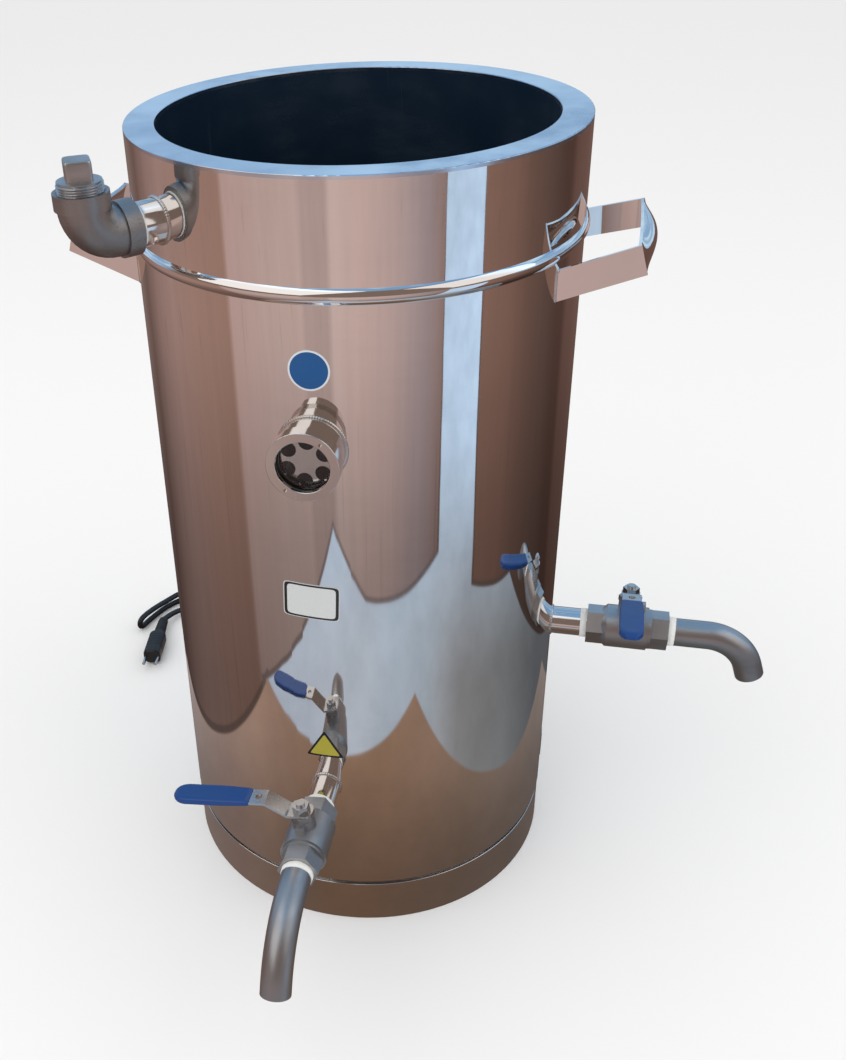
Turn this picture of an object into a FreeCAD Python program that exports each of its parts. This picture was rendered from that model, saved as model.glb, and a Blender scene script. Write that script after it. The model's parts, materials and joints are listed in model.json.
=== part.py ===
import FreeCAD, Part
import Sketcher
import math
import os
import re

# A double-walled, electrically heated kettle on a skirt base. The origin is on the floor at the kettle's
# centre, +Z is up and -Y is the front, where the lower outlet and the sight glass are. Millimetres.

Vector = FreeCAD.Vector
UP = Vector(0, 0, 1)

DIMENSIONS = {
    # kettle
    "shell_radius": 235, "sheet": 2, "kettle_height": 930, "ring_thickness": 4, "pot_radius": 205.6,
    "pot_floor_level": 194, "pot_corner": 20, "shell_foot": 67, "bead_level": 822, "bead_half_height": 8,
    "bead_depth": 4.5, "skirt_radius": 234.3, "skirt_height": 61, "skirt_flange": 22, "floor_plate": 3,
    "groove_depth": 8, "edge_round": 0.8,
    # outlets: one-inch pipe and ball valve
    "pipe_radius": 16.85, "pipe_bore": 14.25, "drain_level": 226, "outlet_level": 330, "valve_reach": 326,
    "stub_inner_reach": 202.2, "valve_half_length": 48, "socket_depth": 12, "valve_bore": 12.5,
    "barrel_radius": 26, "barrel_start": 25, "hex_flats": 41, "thread_clearance": 0.05,
    "end_thread_radius": 22, "end_thread_start": 9.2, "end_hex_start": 24, "ball_radius": 18.5,
    "ball_cavity": 19.2, "cavity_back": 6.6, "seat_radius": 17.4, "seat_back": 22, "run_gap": 0.06,
    "tape_thickness": 0.9, "tape_length": 8,
    # how far each valve leans about its pipe, in degrees, because its thread went tight there
    "drain_lean": 7, "outlet_lean": -8,
    # stem, packing and nuts of a ball valve, heights above the pipe axis
    "stem_radius": 6, "stem_collar_radius": 8.4, "stem_collar_low": 19.4, "stem_collar_high": 22,
    "stem_neck_radius": 5, "stem_top": 57, "tang_thickness": 6, "tang_low": 14, "tang_length": 11,
    "neck_radius": 13, "neck_top": 36, "packing_radius": 9, "packing_low": 29, "packing_high": 33,
    "gland_flats": 24, "gland_top": 42.5, "lever_nut_flats": 17, "lever_nut_height": 8,
    # lever
    "lever_thickness": 3, "lever_width": 22, "lever_tail": 13, "lever_first_bend": 15,
    "lever_second_bend": 38, "lever_rise": 17, "lever_length": 142, "lever_hole_radius": 4,
    "grip_start": 56, "grip_width": 27, "grip_thickness": 9, "grip_overrun": 4, "grip_round": 3.5,
    # spouts
    "drain_spout_straight": 15, "drain_spout_bend": 96, "drain_spout_turn": 65, "drain_spout_end": 14,
    "outlet_spout_straight": 46, "outlet_spout_bend": 54, "outlet_spout_turn": 72, "outlet_spout_end": 14,
    # filling port: one-and-a-quarter-inch pipe and elbow
    "fill_azimuth": -42, "fill_level": 867, "fill_pipe_radius": 21.2, "fill_pipe_bore": 17.9,
    "fill_pipe_inside": 14, "fill_pipe_outside": 37, "fill_tape_length": 3.5, "elbow_face": 26,
    "elbow_axis": 74,
    "elbow_radius": 24, "elbow_band_radius": 26.5, "elbow_band_length": 16, "elbow_bend": 28,
    "elbow_bore": 18, "elbow_collar_low": 27, "elbow_collar_top": 42, "plug_radius": 22,
    "plug_low": 24, "plug_thread_top": 52, "plug_head_side": 25, "plug_head_turn": 25,
    "plug_head_top": 71, "plug_gap": 0.3,
    # sight glass, distances from the shell's wall
    "sight_level": 668, "sight_tube_radius": 34, "sight_tube_bore": 31, "sight_inside": 8,
    "sight_tube_length": 36, "sight_ledge_bore": 26, "sight_ledge_back": 17.5,
    "sight_ledge_front": 20.5,
    "star_thickness": 1.5, "star_lobe_radius": 8, "star_lobe_circle": 20.5, "star_turn": 26,
    "gasket_thickness": 2,
    "glass_thickness": 10, "glass_radius": 30.6, "bezel_radius": 36.5, "bezel_opening": 27,
    "bezel_back": 25, "bezel_front": 40, "spanner_hole_radius": 2, "spanner_hole_circle": 31.5,
    "spanner_hole_turn": 55,
    # handles
    "handle_level": 796, "handle_half_width": 77, "handle_reach": 63, "handle_height": 30,
    "handle_sheet": 3, "handle_tilt": 16, "handle_flare": 22, "grip_depth": 11,
    "grip_half_height": 13, "grip_bow": 11,
    # rear terminal box, heater and thermostat
    "box_width": 130, "box_low": 92, "box_high": 214, "box_back": 300, "box_front": 205, "box_wall": 3,
    "cover_thickness": 3, "heater_level": 130, "boss_radius": 32, "boss_bore": 24, "boss_length": 16,
    "boss_inside": 6, "heater_head_flats": 58, "heater_head_length": 12, "element_radius": 4.25,
    "element_half_width": 11, "element_half_rise": 9, "element_tip": -130, "element_tail": 18,
    "well_radius": 5, "well_bore": 3.8, "well_x": 38, "well_level": 165, "well_length": 60,
    "well_tail": 8, "thermostat_x": -28, "thermostat_level": 180, "thermostat_side": 36,
    "thermostat_depth": 28, "spindle_radius": 3, "knob_radius": 19, "knob_height": 17,
    "lamp_radius": 5, "lamp_x": 28, "lamp_level": 180, "screw_radius": 2, "screw_head_radius": 4,
    "screw_inset": 7, "gland_radius": 10, "gland_x": -30, "gland_y": 268, "gland_length": 22,
    # rating plate on the right-hand side of the shell
    "plate_azimuth": 93, "plate_sweep": 16, "plate_low": 96, "plate_high": 134, "plate_thickness": 0.8,
    # mains lead and plug
    "cord_radius": 4.5, "coil_x": -150, "coil_y": 410, "coil_mid_radius": 50, "coil_half_width": 9,
    "coil_height": 18.5, "plug_half_width": 14, "plug_tail_radius": 7.5, "plug_axis_level": 15,
    "plug_body_length": 97, "plug_tail_length": 42, "pin_radius": 2.4, "pin_length": 19,
    "pin_spacing": 19,
}

doc = FreeCAD.newDocument("BrewKettle")
dims = doc.addObject("Spreadsheet::Sheet", "dims")
for row, (word, value) in enumerate(DIMENSIONS.items(), 1):
    dims.set(f"A{row}", word)
    dims.set(f"B{row}", str(value))
    dims.setAlias(f"B{row}", word)
doc.recompute()

nodes = {}


# ---------------------------------------------------------------- helpers

def linked(expression):
    """The expression with every dimension word pointing at its cell of the sheet."""
    return re.sub(r"\b[a-z]\w*\b(?!\()", r"dims.\g<0>", str(expression))


def size(expression):
    """The number that an expression of dimension words stands for."""
    return float(dims.evalExpression(linked(expression)))


def bind(thing, prop, expression):
    """Binds one property to an expression of dimension words."""
    thing.setExpression(prop, linked(expression))


def new_body(label):
    body = doc.addObject("PartDesign::Body", label)
    body.Label = label
    return body


def new_sketch(body, name, plane, offset="0", azimuth=0.0):
    """A sketch on one of the body's own origin planes, moved along its normal and turned about Z."""
    sketch = body.newObject("Sketcher::SketchObject", name)
    role = [feature for feature in body.Origin.OriginFeatures if feature.Role == plane][0]
    sketch.AttachmentSupport = [(role, "")]
    sketch.MapMode = "FlatFace"
    sketch.AttachmentOffset = FreeCAD.Placement(Vector(), FreeCAD.Rotation(Vector(0, 1, 0), azimuth))
    bind(sketch, "AttachmentOffset.Base.z", offset)
    return sketch


def tie(sketch, kind, *where, expression):
    """One dimensional constraint bound to an expression."""
    index = sketch.addConstraint(Sketcher.Constraint(kind, *where, size(expression)))
    sketch.setExpression(f"Constraints[{index}]", linked(expression))


def tie_point(sketch, edge, end, across, up):
    """Places one point of the sketch from the origin; a zero puts the point on the axis."""
    for kind, value, axis in (("DistanceX", across, -2), ("DistanceY", up, -1)):
        if abs(size(value)) < 1e-9:
            sketch.addConstraint(Sketcher.Constraint("PointOnObject", edge, end, axis))
        else:
            tie(sketch, kind, -1, 1, edge, end, expression=value)


def arc_middle(start, end, radius):
    """The middle of the short arc from start to end, turning left if the radius is positive."""
    chord = end - start
    half = chord.Length / 2
    left = Vector(-chord.y, chord.x, 0).normalize()
    rise = abs(radius) - math.sqrt(max(radius * radius - half * half, 0))
    return (start + end) * 0.5 - left * math.copysign(rise, radius)


def outline(sketch, corners):
    """A closed outline. A corner is (across, up), or (across, up, radius) where an arc leaves it."""
    spots = [Vector(size(corner[0]), size(corner[1]), 0) for corner in corners]
    first = sketch.GeometryCount
    ends = []
    for place, corner in enumerate(corners):
        start, end = spots[place], spots[(place + 1) % len(spots)]
        if len(corner) == 3:
            radius = size(corner[2])
            middle = arc_middle(start, end, radius)
            # a sketch holds an arc counter-clockwise, so one that turns right is drawn backwards
            arc = Part.Arc(start, middle, end) if radius > 0 else Part.Arc(end, middle, start)
            edge = sketch.addGeometry(arc)
        else:
            edge = sketch.addGeometry(Part.LineSegment(start, end))
        forward = (sketch.Geometry[edge].StartPoint - start).Length < 1e-6
        ends.append((1, 2) if forward else (2, 1))
    for place, corner in enumerate(corners):
        edge = first + place
        following = (place + 1) % len(corners)
        sketch.addConstraint(
            Sketcher.Constraint("Coincident", edge, ends[place][1], first + following, ends[following][0])
        )
        tie_point(sketch, edge, ends[place][0], corner[0], corner[1])
        if len(corner) == 3:
            tie(sketch, "Radius", edge, expression=f"abs({corner[2]})")


def circle(sketch, across, up, radius):
    centre = Vector(size(across), size(up), 0)
    edge = sketch.addGeometry(Part.Circle(centre, Vector(0, 0, 1), size(radius)))
    tie_point(sketch, edge, 3, across, up)
    tie(sketch, "Radius", edge, expression=radius)


def revolve(body, name, corners, axis="V_Axis", cut=False, sweep="360"):
    """Turns an outline in the XZ plane about the sketch's own upright (Z) or level (X) axis."""
    sketch = new_sketch(body, name + "_outline", "XZ_Plane")
    outline(sketch, corners)
    before = volume_of(body)
    feature = body.newObject("PartDesign::Groove" if cut else "PartDesign::Revolution", name)
    feature.Profile = sketch
    feature.ReferenceAxis = (sketch, [axis])
    bind(feature, "Angle", sweep)
    changed(body, name, before, cut)
    return feature


def extrude(body, name, plane, draw, length, offset="0", cut=False, back=False, both=False, azimuth=0.0):
    """Pads or pockets what draw(sketch) draws. A pad goes along the plane's normal, or back from it."""
    sketch = new_sketch(body, name + "_outline", plane, offset, azimuth)
    draw(sketch)
    before = volume_of(body)
    feature = body.newObject("PartDesign::Pocket" if cut else "PartDesign::Pad", name)
    feature.Profile = sketch
    bind(feature, "Length", length)
    if both:
        feature.SideType = "Symmetric"
    feature.Reversed = back != cut
    changed(body, name, before, cut)
    return feature


def volume_of(body):
    return body.Shape.Volume if body.Tip else 0.0


def changed(body, name, before, cut):
    """Recomputes and stops if a cut took nothing away or an addition added nothing."""
    doc.recompute()
    gain = body.Shape.Volume - before
    if (gain > -1e-3) if cut else (gain < 1e-3):
        raise ValueError(f"{name} changed the volume by {gain}")


def hexagon(flats):
    """Draws a hexagon about the sketch's origin, with two flats level."""
    def draw(sketch):
        half, point = f"({flats}) / 2", f"({flats}) / sqrt(3)"
        outline(sketch, [
            (point, "0"), (f"{point} / 2", half), (f"-{point} / 2", half),
            (f"-{point}", "0"), (f"-{point} / 2", f"-{half}"), (f"{point} / 2", f"-{half}"),
        ])
    return draw


def rectangle(left, low, right, high):
    def draw(sketch):
        outline(sketch, [(left, low), (right, low), (right, high), (left, high)])
    return draw


def disc(radius, across="0", up="0"):
    def draw(sketch):
        circle(sketch, across, up, radius)
    return draw


def wall_hole(body, name, azimuth, level, radius):
    """A round hole out through a wall of revolution, at an angle from the front towards +X."""
    extrude(body, name, "XZ_Plane", disc(radius, "0", level), "shell_radius + 10", cut=True, azimuth=azimuth)


def soften(body, name, radius, chosen):
    """Rounds the edges of the body's last shape that chosen(edge) picks."""
    base = body.Tip
    edges = [f"Edge{index}" for index, edge in enumerate(base.Shape.Edges, 1) if chosen(edge)]
    feature = body.newObject("PartDesign::Fillet", name)
    feature.Base = (base, edges)
    bind(feature, "Radius", radius)
    doc.recompute()
    return feature


def port(azimuth, reach, level):
    """A placement whose +X points out of the kettle at an angle from the front, at a distance and height."""
    angle = math.radians(azimuth)
    spot = Vector(reach * math.sin(angle), -reach * math.cos(angle), level)
    return FreeCAD.Placement(spot, FreeCAD.Rotation(UP, azimuth - 90))


def node(label, thing, placement=None):
    """Names a finished sub-part and puts it in its place."""
    thing.Label = label
    if placement:
        thing.Placement = placement
    nodes[label] = thing


def group(label, things, placement=None):
    """Separate solids that share one node."""
    compound = doc.addObject("Part::Compound", label)
    compound.Links = things
    node(label, compound, placement)


def ring_body(label, inner, outer, low, high, axis="V_Axis"):
    """A plain ring about Z or, for axis H_Axis, about X."""
    body = new_body(label)
    if axis == "V_Axis":
        corners = [(inner, low), (outer, low), (outer, high), (inner, high)]
    else:
        corners = [(low, inner), (high, inner), (high, outer), (low, outer)]
    revolve(body, label + "_turned", corners, axis)
    return body


def ring(label, inner, outer, low, high, axis="V_Axis", placement=None):
    """A plain ring that is a node of its own."""
    body = ring_body(label, inner, outer, low, high, axis)
    node(label, body, placement)
    return body


def tube_path(points, name):
    """Straight runs joined by tangent arcs, each as large as its two runs allow."""
    spots = [Vector(*point) for point in points]
    edges = []
    start = spots[0]
    radii = []
    for before, corner, after in zip(spots, spots[1:], spots[2:]):
        into, out = corner - before, after - corner
        reach = 0.45 * min(into.Length, out.Length)
        turn = into.getAngle(out)
        radii.append(reach / math.tan(turn / 2))
        into.normalize()
        out.normalize()
        enter, leave = corner - into * reach, corner + out * reach
        bisector = (out - into).normalize()
        middle = corner + bisector * (radii[-1] / math.cos(turn / 2) - radii[-1])
        edges.append(Part.LineSegment(start, enter).toShape())
        edges.append(Part.Arc(enter, middle, leave).toShape())
        start = leave
    edges.append(Part.LineSegment(start, spots[-1]).toShape())
    wire = Part.Wire(edges)
    print(name, "length", round(wire.Length, 1), "radii", [round(radius, 1) for radius in radii])
    return wire


def cord_tube(label, points):
    """A round tube along a free cord's route, its volume checked against section times length."""
    wire = tube_path(points, label)
    heading = Vector(*points[1]) - Vector(*points[0])
    section = Part.Wire(Part.makeCircle(size("cord_radius"), Vector(*points[0]), heading))
    solid = wire.makePipeShell([section], True, False)
    wanted = math.pi * size("cord_radius") ** 2 * wire.Length
    if abs(solid.Volume / wanted - 1) > 0.01:
        raise ValueError(f"{label} has volume {solid.Volume}, not {wanted}")
    feature = doc.addObject("Part::Feature", label)
    feature.Shape = solid
    feature.Placement = FreeCAD.Placement()
    node(label, feature)


# ---------------------------------------------------------------- kettle

def outer_shell():
    """The polished outside: a cylinder with one swaged bead, pierced for every port."""
    body = new_body("outer_shell")
    inner = "shell_radius - sheet"
    top = "kettle_height - ring_thickness"
    bead = "(bead_half_height ^ 2 + bead_depth ^ 2) / (2 * bead_depth)"
    revolve(body, "shell_turned", [
        (inner, "shell_foot"), ("shell_radius", "shell_foot"),
        ("shell_radius", "bead_level - bead_half_height", bead),
        ("shell_radius", "bead_level + bead_half_height"),
        ("shell_radius", top), (inner, top),
        (inner, "bead_level + bead_half_height", f"-({bead})"),
        (inner, "bead_level - bead_half_height"),
    ])
    wall_hole(body, "shell_drain_hole", 0, "drain_level", "pipe_radius")
    wall_hole(body, "shell_outlet_hole", 90, "outlet_level", "pipe_radius")
    wall_hole(body, "shell_fill_hole", size("fill_azimuth"), "fill_level", "fill_pipe_radius")
    wall_hole(body, "shell_sight_hole", 0, "sight_level", "sight_tube_radius")
    wall_hole(body, "shell_heater_hole", 180, "heater_level", "boss_radius")
    extrude(body, "shell_well_hole", "XZ_Plane", disc("well_radius", "well_x", "well_level"),
            "shell_radius + 10", cut=True, back=True)
    foot = size("shell_foot")
    soften(body, "shell_lip", "edge_round", lambda edge: abs(edge.BoundBox.ZMax - foot) < 1e-3
           and edge.BoundBox.XMax > size("shell_radius - 1"))
    node("outer_shell", body)


def inner_pot():
    """The product vessel: a straight wall with a rounded corner and a flat floor."""
    body = new_body("inner_pot")
    top = "kettle_height - ring_thickness"
    inner = "pot_radius - sheet"
    floor = "pot_floor_level + sheet"
    revolve(body, "pot_turned", [
        ("0", "pot_floor_level"), ("pot_radius - pot_corner", "pot_floor_level", "pot_corner"),
        ("pot_radius", "pot_floor_level + pot_corner"), ("pot_radius", top), (inner, top),
        (inner, "pot_floor_level + pot_corner", "-(pot_corner - sheet)"),
        ("pot_radius - pot_corner", floor), ("0", floor),
    ])
    wall_hole(body, "pot_drain_hole", 0, "drain_level", "pipe_radius")
    wall_hole(body, "pot_outlet_hole", 90, "outlet_level", "pipe_radius")
    node("inner_pot", body)


def top_ring():
    """The flat ring that closes the jacket between the pot and the shell."""
    body = ring("top_ring", "pot_radius - sheet", "shell_radius",
                "kettle_height - ring_thickness", "kettle_height")
    soften(body, "top_ring_edges", "edge_round",
           lambda edge: abs(edge.BoundBox.ZMin - size("kettle_height")) < 1e-3)


def jacket_floor():
    """The plate under the water jacket; its lower step is narrower and makes the dark groove."""
    body = new_body("jacket_floor")
    inner = "shell_radius - sheet"
    revolve(body, "jacket_floor_turned", [
        ("0", "skirt_height"), ("skirt_radius - groove_depth", "skirt_height"),
        ("skirt_radius - groove_depth", "shell_foot"), (inner, "shell_foot"),
        (inner, "shell_foot + floor_plate"), ("0", "shell_foot + floor_plate"),
    ])
    node("jacket_floor", body)


def base_skirt():
    """The foot ring, its sheet turned in at the top and at the floor."""
    body = new_body("base_skirt")
    inner = "skirt_radius - sheet"
    flange = "skirt_radius - skirt_flange"
    revolve(body, "skirt_turned", [
        (flange, "0"), ("skirt_radius", "0"), ("skirt_radius", "skirt_height"), (flange, "skirt_height"),
        (flange, "skirt_height - sheet"), (inner, "skirt_height - sheet"), (inner, "sheet"),
        (flange, "sheet"),
    ])
    soften(body, "skirt_edges", "edge_round", lambda edge: edge.BoundBox.XMax > size("skirt_radius - 0.1")
           and edge.BoundBox.ZLength < 1e-3)
    node("base_skirt", body)


# ---------------------------------------------------------------- outlets

def stub(label, place):
    """The pipe stub, welded through the shell and the pot and screwed into the valve."""
    ring(label, "pipe_bore", "pipe_radius", "stub_inner_reach - valve_reach",
         "socket_depth - valve_half_length", "H_Axis", place)


def tapes(side, place):
    """The white thread tape that shows at both ends of the valve."""
    edge = "valve_half_length"
    outer = "pipe_radius + tape_thickness"
    group(side + "_tapes", [
        ring_body(side + "_tape_in", "pipe_radius", outer, f"-{edge} - tape_length", f"-{edge}", "H_Axis"),
        ring_body(side + "_tape_out", "pipe_radius", outer, edge, f"{edge} + tape_length", "H_Axis"),
    ], place)


def valve_body(label, place):
    """Hexagonal inlet, round barrel, stem neck and stop lug, bored for seat, ball and packing."""
    body = new_body(label)
    revolve(body, label + "_barrel", [
        ("-barrel_start - 7", "0"), ("-barrel_start - 7", "hex_flats / 2 - 1"),
        ("-barrel_start", "barrel_radius"), ("end_hex_start", "barrel_radius"), ("end_hex_start", "0"),
    ], "H_Axis")
    extrude(body, label + "_hex", "YZ_Plane", hexagon("hex_flats"), "valve_half_length - barrel_start",
            offset="-valve_half_length")
    extrude(body, label + "_neck", "XY_Plane", disc("neck_radius"), "neck_top")
    extrude(body, label + "_lug", "XY_Plane",
            rectangle("neck_radius - 3", "-5", "neck_radius + 6", "5"), "neck_top - 2")
    revolve(body, label + "_bore", [
        ("-valve_half_length", "0"), ("-valve_half_length", "pipe_radius"),
        ("socket_depth - valve_half_length", "pipe_radius"),
        ("socket_depth - valve_half_length", "valve_bore"),
        ("-seat_back", "valve_bore"), ("-seat_back", "seat_radius"), ("-cavity_back", "seat_radius"),
        ("-cavity_back", "ball_cavity"), ("end_thread_start", "ball_cavity"),
        ("end_thread_start", "end_thread_radius"), ("end_hex_start", "end_thread_radius"),
        ("end_hex_start", "0"),
    ], "H_Axis", cut=True)
    revolve(body, label + "_stem_bore", [
        ("0", "10"), ("stem_collar_radius + run_gap", "10"),
        ("stem_collar_radius + run_gap", "stem_collar_high + run_gap"),
        ("stem_radius + run_gap", "stem_collar_high + run_gap"), ("stem_radius + run_gap", "packing_low"),
        ("packing_radius", "packing_low"), ("packing_radius", "neck_top"), ("0", "neck_top"),
    ], cut=True)
    node(label, body, place)


def valve_end(label, place):
    """The screwed end piece: thread inside the barrel, hexagon outside, seat pocket and pipe socket."""
    body = new_body(label)
    revolve(body, label + "_thread", [
        ("end_thread_start", "0"), ("end_thread_start", "end_thread_radius - thread_clearance"),
        ("end_hex_start", "end_thread_radius - thread_clearance"), ("end_hex_start", "barrel_radius - 2"),
        ("end_hex_start + 4", "barrel_radius - 2"), ("end_hex_start + 4", "0"),
    ], "H_Axis")
    extrude(body, label + "_hex", "YZ_Plane", hexagon("hex_flats"),
            "valve_half_length - end_hex_start - 4", offset="end_hex_start + 4")
    revolve(body, label + "_bore", [
        ("end_thread_start", "0"), ("end_thread_start", "seat_radius"), ("seat_back", "seat_radius"),
        ("seat_back", "valve_bore"), ("valve_half_length - socket_depth", "valve_bore"),
        ("valve_half_length - socket_depth", "pipe_radius"), ("valve_half_length", "pipe_radius"),
        ("valve_half_length", "0"),
    ], "H_Axis", cut=True)
    node(label, body, place)


def ball(label, place):
    """The ball, bored along Y while the valve is shut, with a slot for the stem's tang."""
    sphere = doc.addObject("Part::Sphere", label + "_sphere")
    bind(sphere, "Radius", "ball_radius")
    bore = doc.addObject("Part::Cylinder", label + "_bore")
    bind(bore, "Radius", "valve_bore")
    bind(bore, "Height", "ball_radius * 2 + 4")
    bore.Placement = FreeCAD.Placement(Vector(), FreeCAD.Rotation(Vector(1, 0, 0), 90))
    bind(bore, "Placement.Base.y", "ball_radius + 2")
    slot = doc.addObject("Part::Box", label + "_slot")
    bind(slot, "Length", "tang_thickness + 2 * run_gap")
    bind(slot, "Width", "tang_length + 2 * run_gap")
    bind(slot, "Height", "ball_radius")
    bind(slot, "Placement.Base.x", "-tang_thickness / 2 - run_gap")
    bind(slot, "Placement.Base.y", "-tang_length / 2 - run_gap")
    bind(slot, "Placement.Base.z", "tang_low - run_gap")
    tools = doc.addObject("Part::MultiFuse", label + "_tools")
    tools.Shapes = [bore, slot]
    cut = doc.addObject("Part::Cut", label)
    cut.Base = sphere
    cut.Tool = tools
    node(label, cut, place)


def seats(label, place):
    """The two seat rings, hollowed to the ball with a running gap."""
    face = "ball_radius + run_gap"
    rings = []
    for side, sign, turn in (("inner", "-", ""), ("outer", "", "-")):
        rings.append(new_body(f"{label}_{side}"))
        revolve(rings[-1], f"{label}_{side}_turned", [
            (f"{sign}seat_back", "valve_bore"), (f"{sign}seat_back", "seat_radius"),
            (f"{sign}sqrt(({face}) ^ 2 - seat_radius ^ 2)", "seat_radius", f"{turn}({face})"),
            (f"{sign}sqrt(({face}) ^ 2 - valve_bore ^ 2)", "valve_bore"),
        ], "H_Axis")
    group(label, rings, place)


def stem(label, place):
    """The stem: tang, blow-out-proof collar, journal and the thinner neck under the lever nut."""
    body = new_body(label)
    revolve(body, label + "_turned", [
        ("0", "stem_collar_low"), ("stem_collar_radius", "stem_collar_low"),
        ("stem_collar_radius", "stem_collar_high"), ("stem_radius", "stem_collar_high"),
        ("stem_radius", "gland_top + 0.3"), ("stem_neck_radius", "gland_top + 0.3"),
        ("stem_neck_radius", "stem_top"), ("0", "stem_top"),
    ])
    extrude(body, label + "_tang", "XY_Plane",
            rectangle("-tang_thickness / 2", "-tang_length / 2", "tang_thickness / 2", "tang_length / 2"),
            "stem_collar_low + 0.5 - tang_low", offset="tang_low")
    node(label, body, place)


def gland_nut(label, place):
    """The packing nut: a sleeve that presses the packing and a hexagon on top of the neck."""
    body = new_body(label)
    extrude(body, label + "_hex", "XY_Plane", hexagon("gland_flats"), "gland_top - neck_top",
            offset="neck_top")
    extrude(body, label + "_sleeve", "XY_Plane", disc("packing_radius - thread_clearance"),
            "neck_top - packing_high", offset="neck_top", back=True)
    extrude(body, label + "_bore", "XY_Plane", disc("stem_radius + run_gap"),
            "gland_top - packing_high", offset="packing_high", cut=True)
    node(label, body, place)


def lever(label, place):
    """A cranked strip that points to -Y while the valve is shut."""
    body = new_body(label)
    low = "gland_top + 0.3"
    high = f"{low} + lever_rise"
    slant = "lever_thickness * 0.35"

    def side_view(sketch):
        outline(sketch, [
            ("lever_tail", low), ("lever_tail", f"{low} + lever_thickness"),
            (f"-lever_first_bend + {slant}", f"{low} + lever_thickness"),
            (f"-lever_second_bend + {slant}", f"{high} + lever_thickness"),
            ("-lever_length", f"{high} + lever_thickness"), ("-lever_length", high),
            ("-lever_second_bend", high), ("-lever_first_bend", low),
        ])

    extrude(body, label + "_strip", "YZ_Plane", side_view, "lever_width", both=True)
    extrude(body, label + "_stem_hole", "XY_Plane", disc("stem_neck_radius"), "lever_thickness + 2",
            offset=f"{low} - 1", cut=True)
    extrude(body, label + "_hang_hole", "XY_Plane", disc("lever_hole_radius", "0", "-lever_second_bend - 8"),
            "lever_thickness + 2", offset=f"{high} - 1", cut=True)
    corners = size("lever_tail"), -size("lever_length")
    soften(body, label + "_corners", "lever_width * 0.4", lambda edge: edge.BoundBox.ZLength > 2
           and edge.BoundBox.YLength < 1e-3 and min(abs(edge.BoundBox.YMin - y) for y in corners) < 1e-3
           and edge.BoundBox.XLength < 1e-3)
    node(label, body, place)


def grip(label, place):
    """The dipped plastic sleeve over the outer part of the lever, with a round tip."""
    body = new_body(label)
    middle = "gland_top + 0.3 + lever_rise + lever_thickness / 2"
    tip = "-(lever_length + grip_overrun)"
    half = "grip_width / 2"
    turn = f"{half} * 1.02"

    def plan(sketch):
        outline(sketch, [
            (half, "-grip_start"), (f"-{half}", "-grip_start"),
            (f"-{half}", f"{tip} + {half}", turn), (half, f"{tip} + {half}"),
        ])

    extrude(body, label + "_slab", "XY_Plane", plan, "grip_thickness", offset=middle, both=True)
    soften(body, label + "_round", "grip_round", lambda edge: edge.BoundBox.ZLength < 1e-3
           and edge.BoundBox.YMax < -size("grip_start") - 1e-3 or edge.BoundBox.YLength > 20)
    extrude(body, label + "_pocket", "XZ_Plane", rectangle(
        "-lever_width / 2", f"{middle} - lever_thickness / 2", "lever_width / 2",
        f"{middle} + lever_thickness / 2"), "lever_length - grip_start", offset="grip_start", cut=True)
    node(label, body, place)


def lever_nut(label, place):
    body = new_body(label)
    low = "gland_top + 0.3 + lever_thickness"
    extrude(body, label + "_hex", "XY_Plane", hexagon("lever_nut_flats"), "lever_nut_height", offset=low)
    extrude(body, label + "_bore", "XY_Plane", disc("stem_neck_radius"), "lever_nut_height", offset=low,
            cut=True)
    node(label, body, place)


def spout(label, side, place):
    """The bent outlet pipe: straight, one bend down and a short straight end."""
    body = new_body(label)
    start = "valve_half_length - socket_depth"
    bend_at = f"(valve_half_length + {side}_spout_straight)"
    radius, turn, end = f"{side}_spout_bend", f"{side}_spout_turn", f"{side}_spout_end"
    leave_across = f"{bend_at} + {radius} * sin({turn})"
    leave_up = f"-{radius} * (1 - cos({turn}))"
    tip_across = f"{leave_across} + {end} * cos({turn})"
    tip_up = f"{leave_up} - {end} * sin({turn})"
    path = new_sketch(body, label + "_path", "XZ_Plane")
    spots = [Vector(size(across), size(up), 0) for across, up in (
        (start, "0"), (bend_at, "0"), (leave_across, leave_up), (tip_across, tip_up))]
    straight = path.addGeometry(Part.LineSegment(spots[0], spots[1]))
    bend = path.addGeometry(Part.Arc(spots[2], arc_middle(spots[1], spots[2], -size(radius)), spots[1]))
    drop = path.addGeometry(Part.LineSegment(spots[2], spots[3]))
    path.addConstraint(Sketcher.Constraint("Coincident", straight, 2, bend, 2))
    path.addConstraint(Sketcher.Constraint("Coincident", bend, 1, drop, 1))
    tie_point(path, straight, 1, start, "0")
    tie_point(path, straight, 2, bend_at, "0")
    tie_point(path, drop, 1, leave_across, leave_up)
    tie_point(path, drop, 2, tip_across, tip_up)
    tie(path, "Radius", bend, expression=radius)
    section = new_sketch(body, label + "_section", "YZ_Plane", start)
    circle(section, "0", "0", "pipe_radius")
    circle(section, "0", "0", "pipe_bore")
    doc.recompute()
    pipe = body.newObject("PartDesign::AdditivePipe", label + "_pipe")
    pipe.Profile = section
    pipe.Spine = (path, ["Edge1", "Edge2", "Edge3"])
    doc.recompute()
    node(label, body, place)


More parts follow.
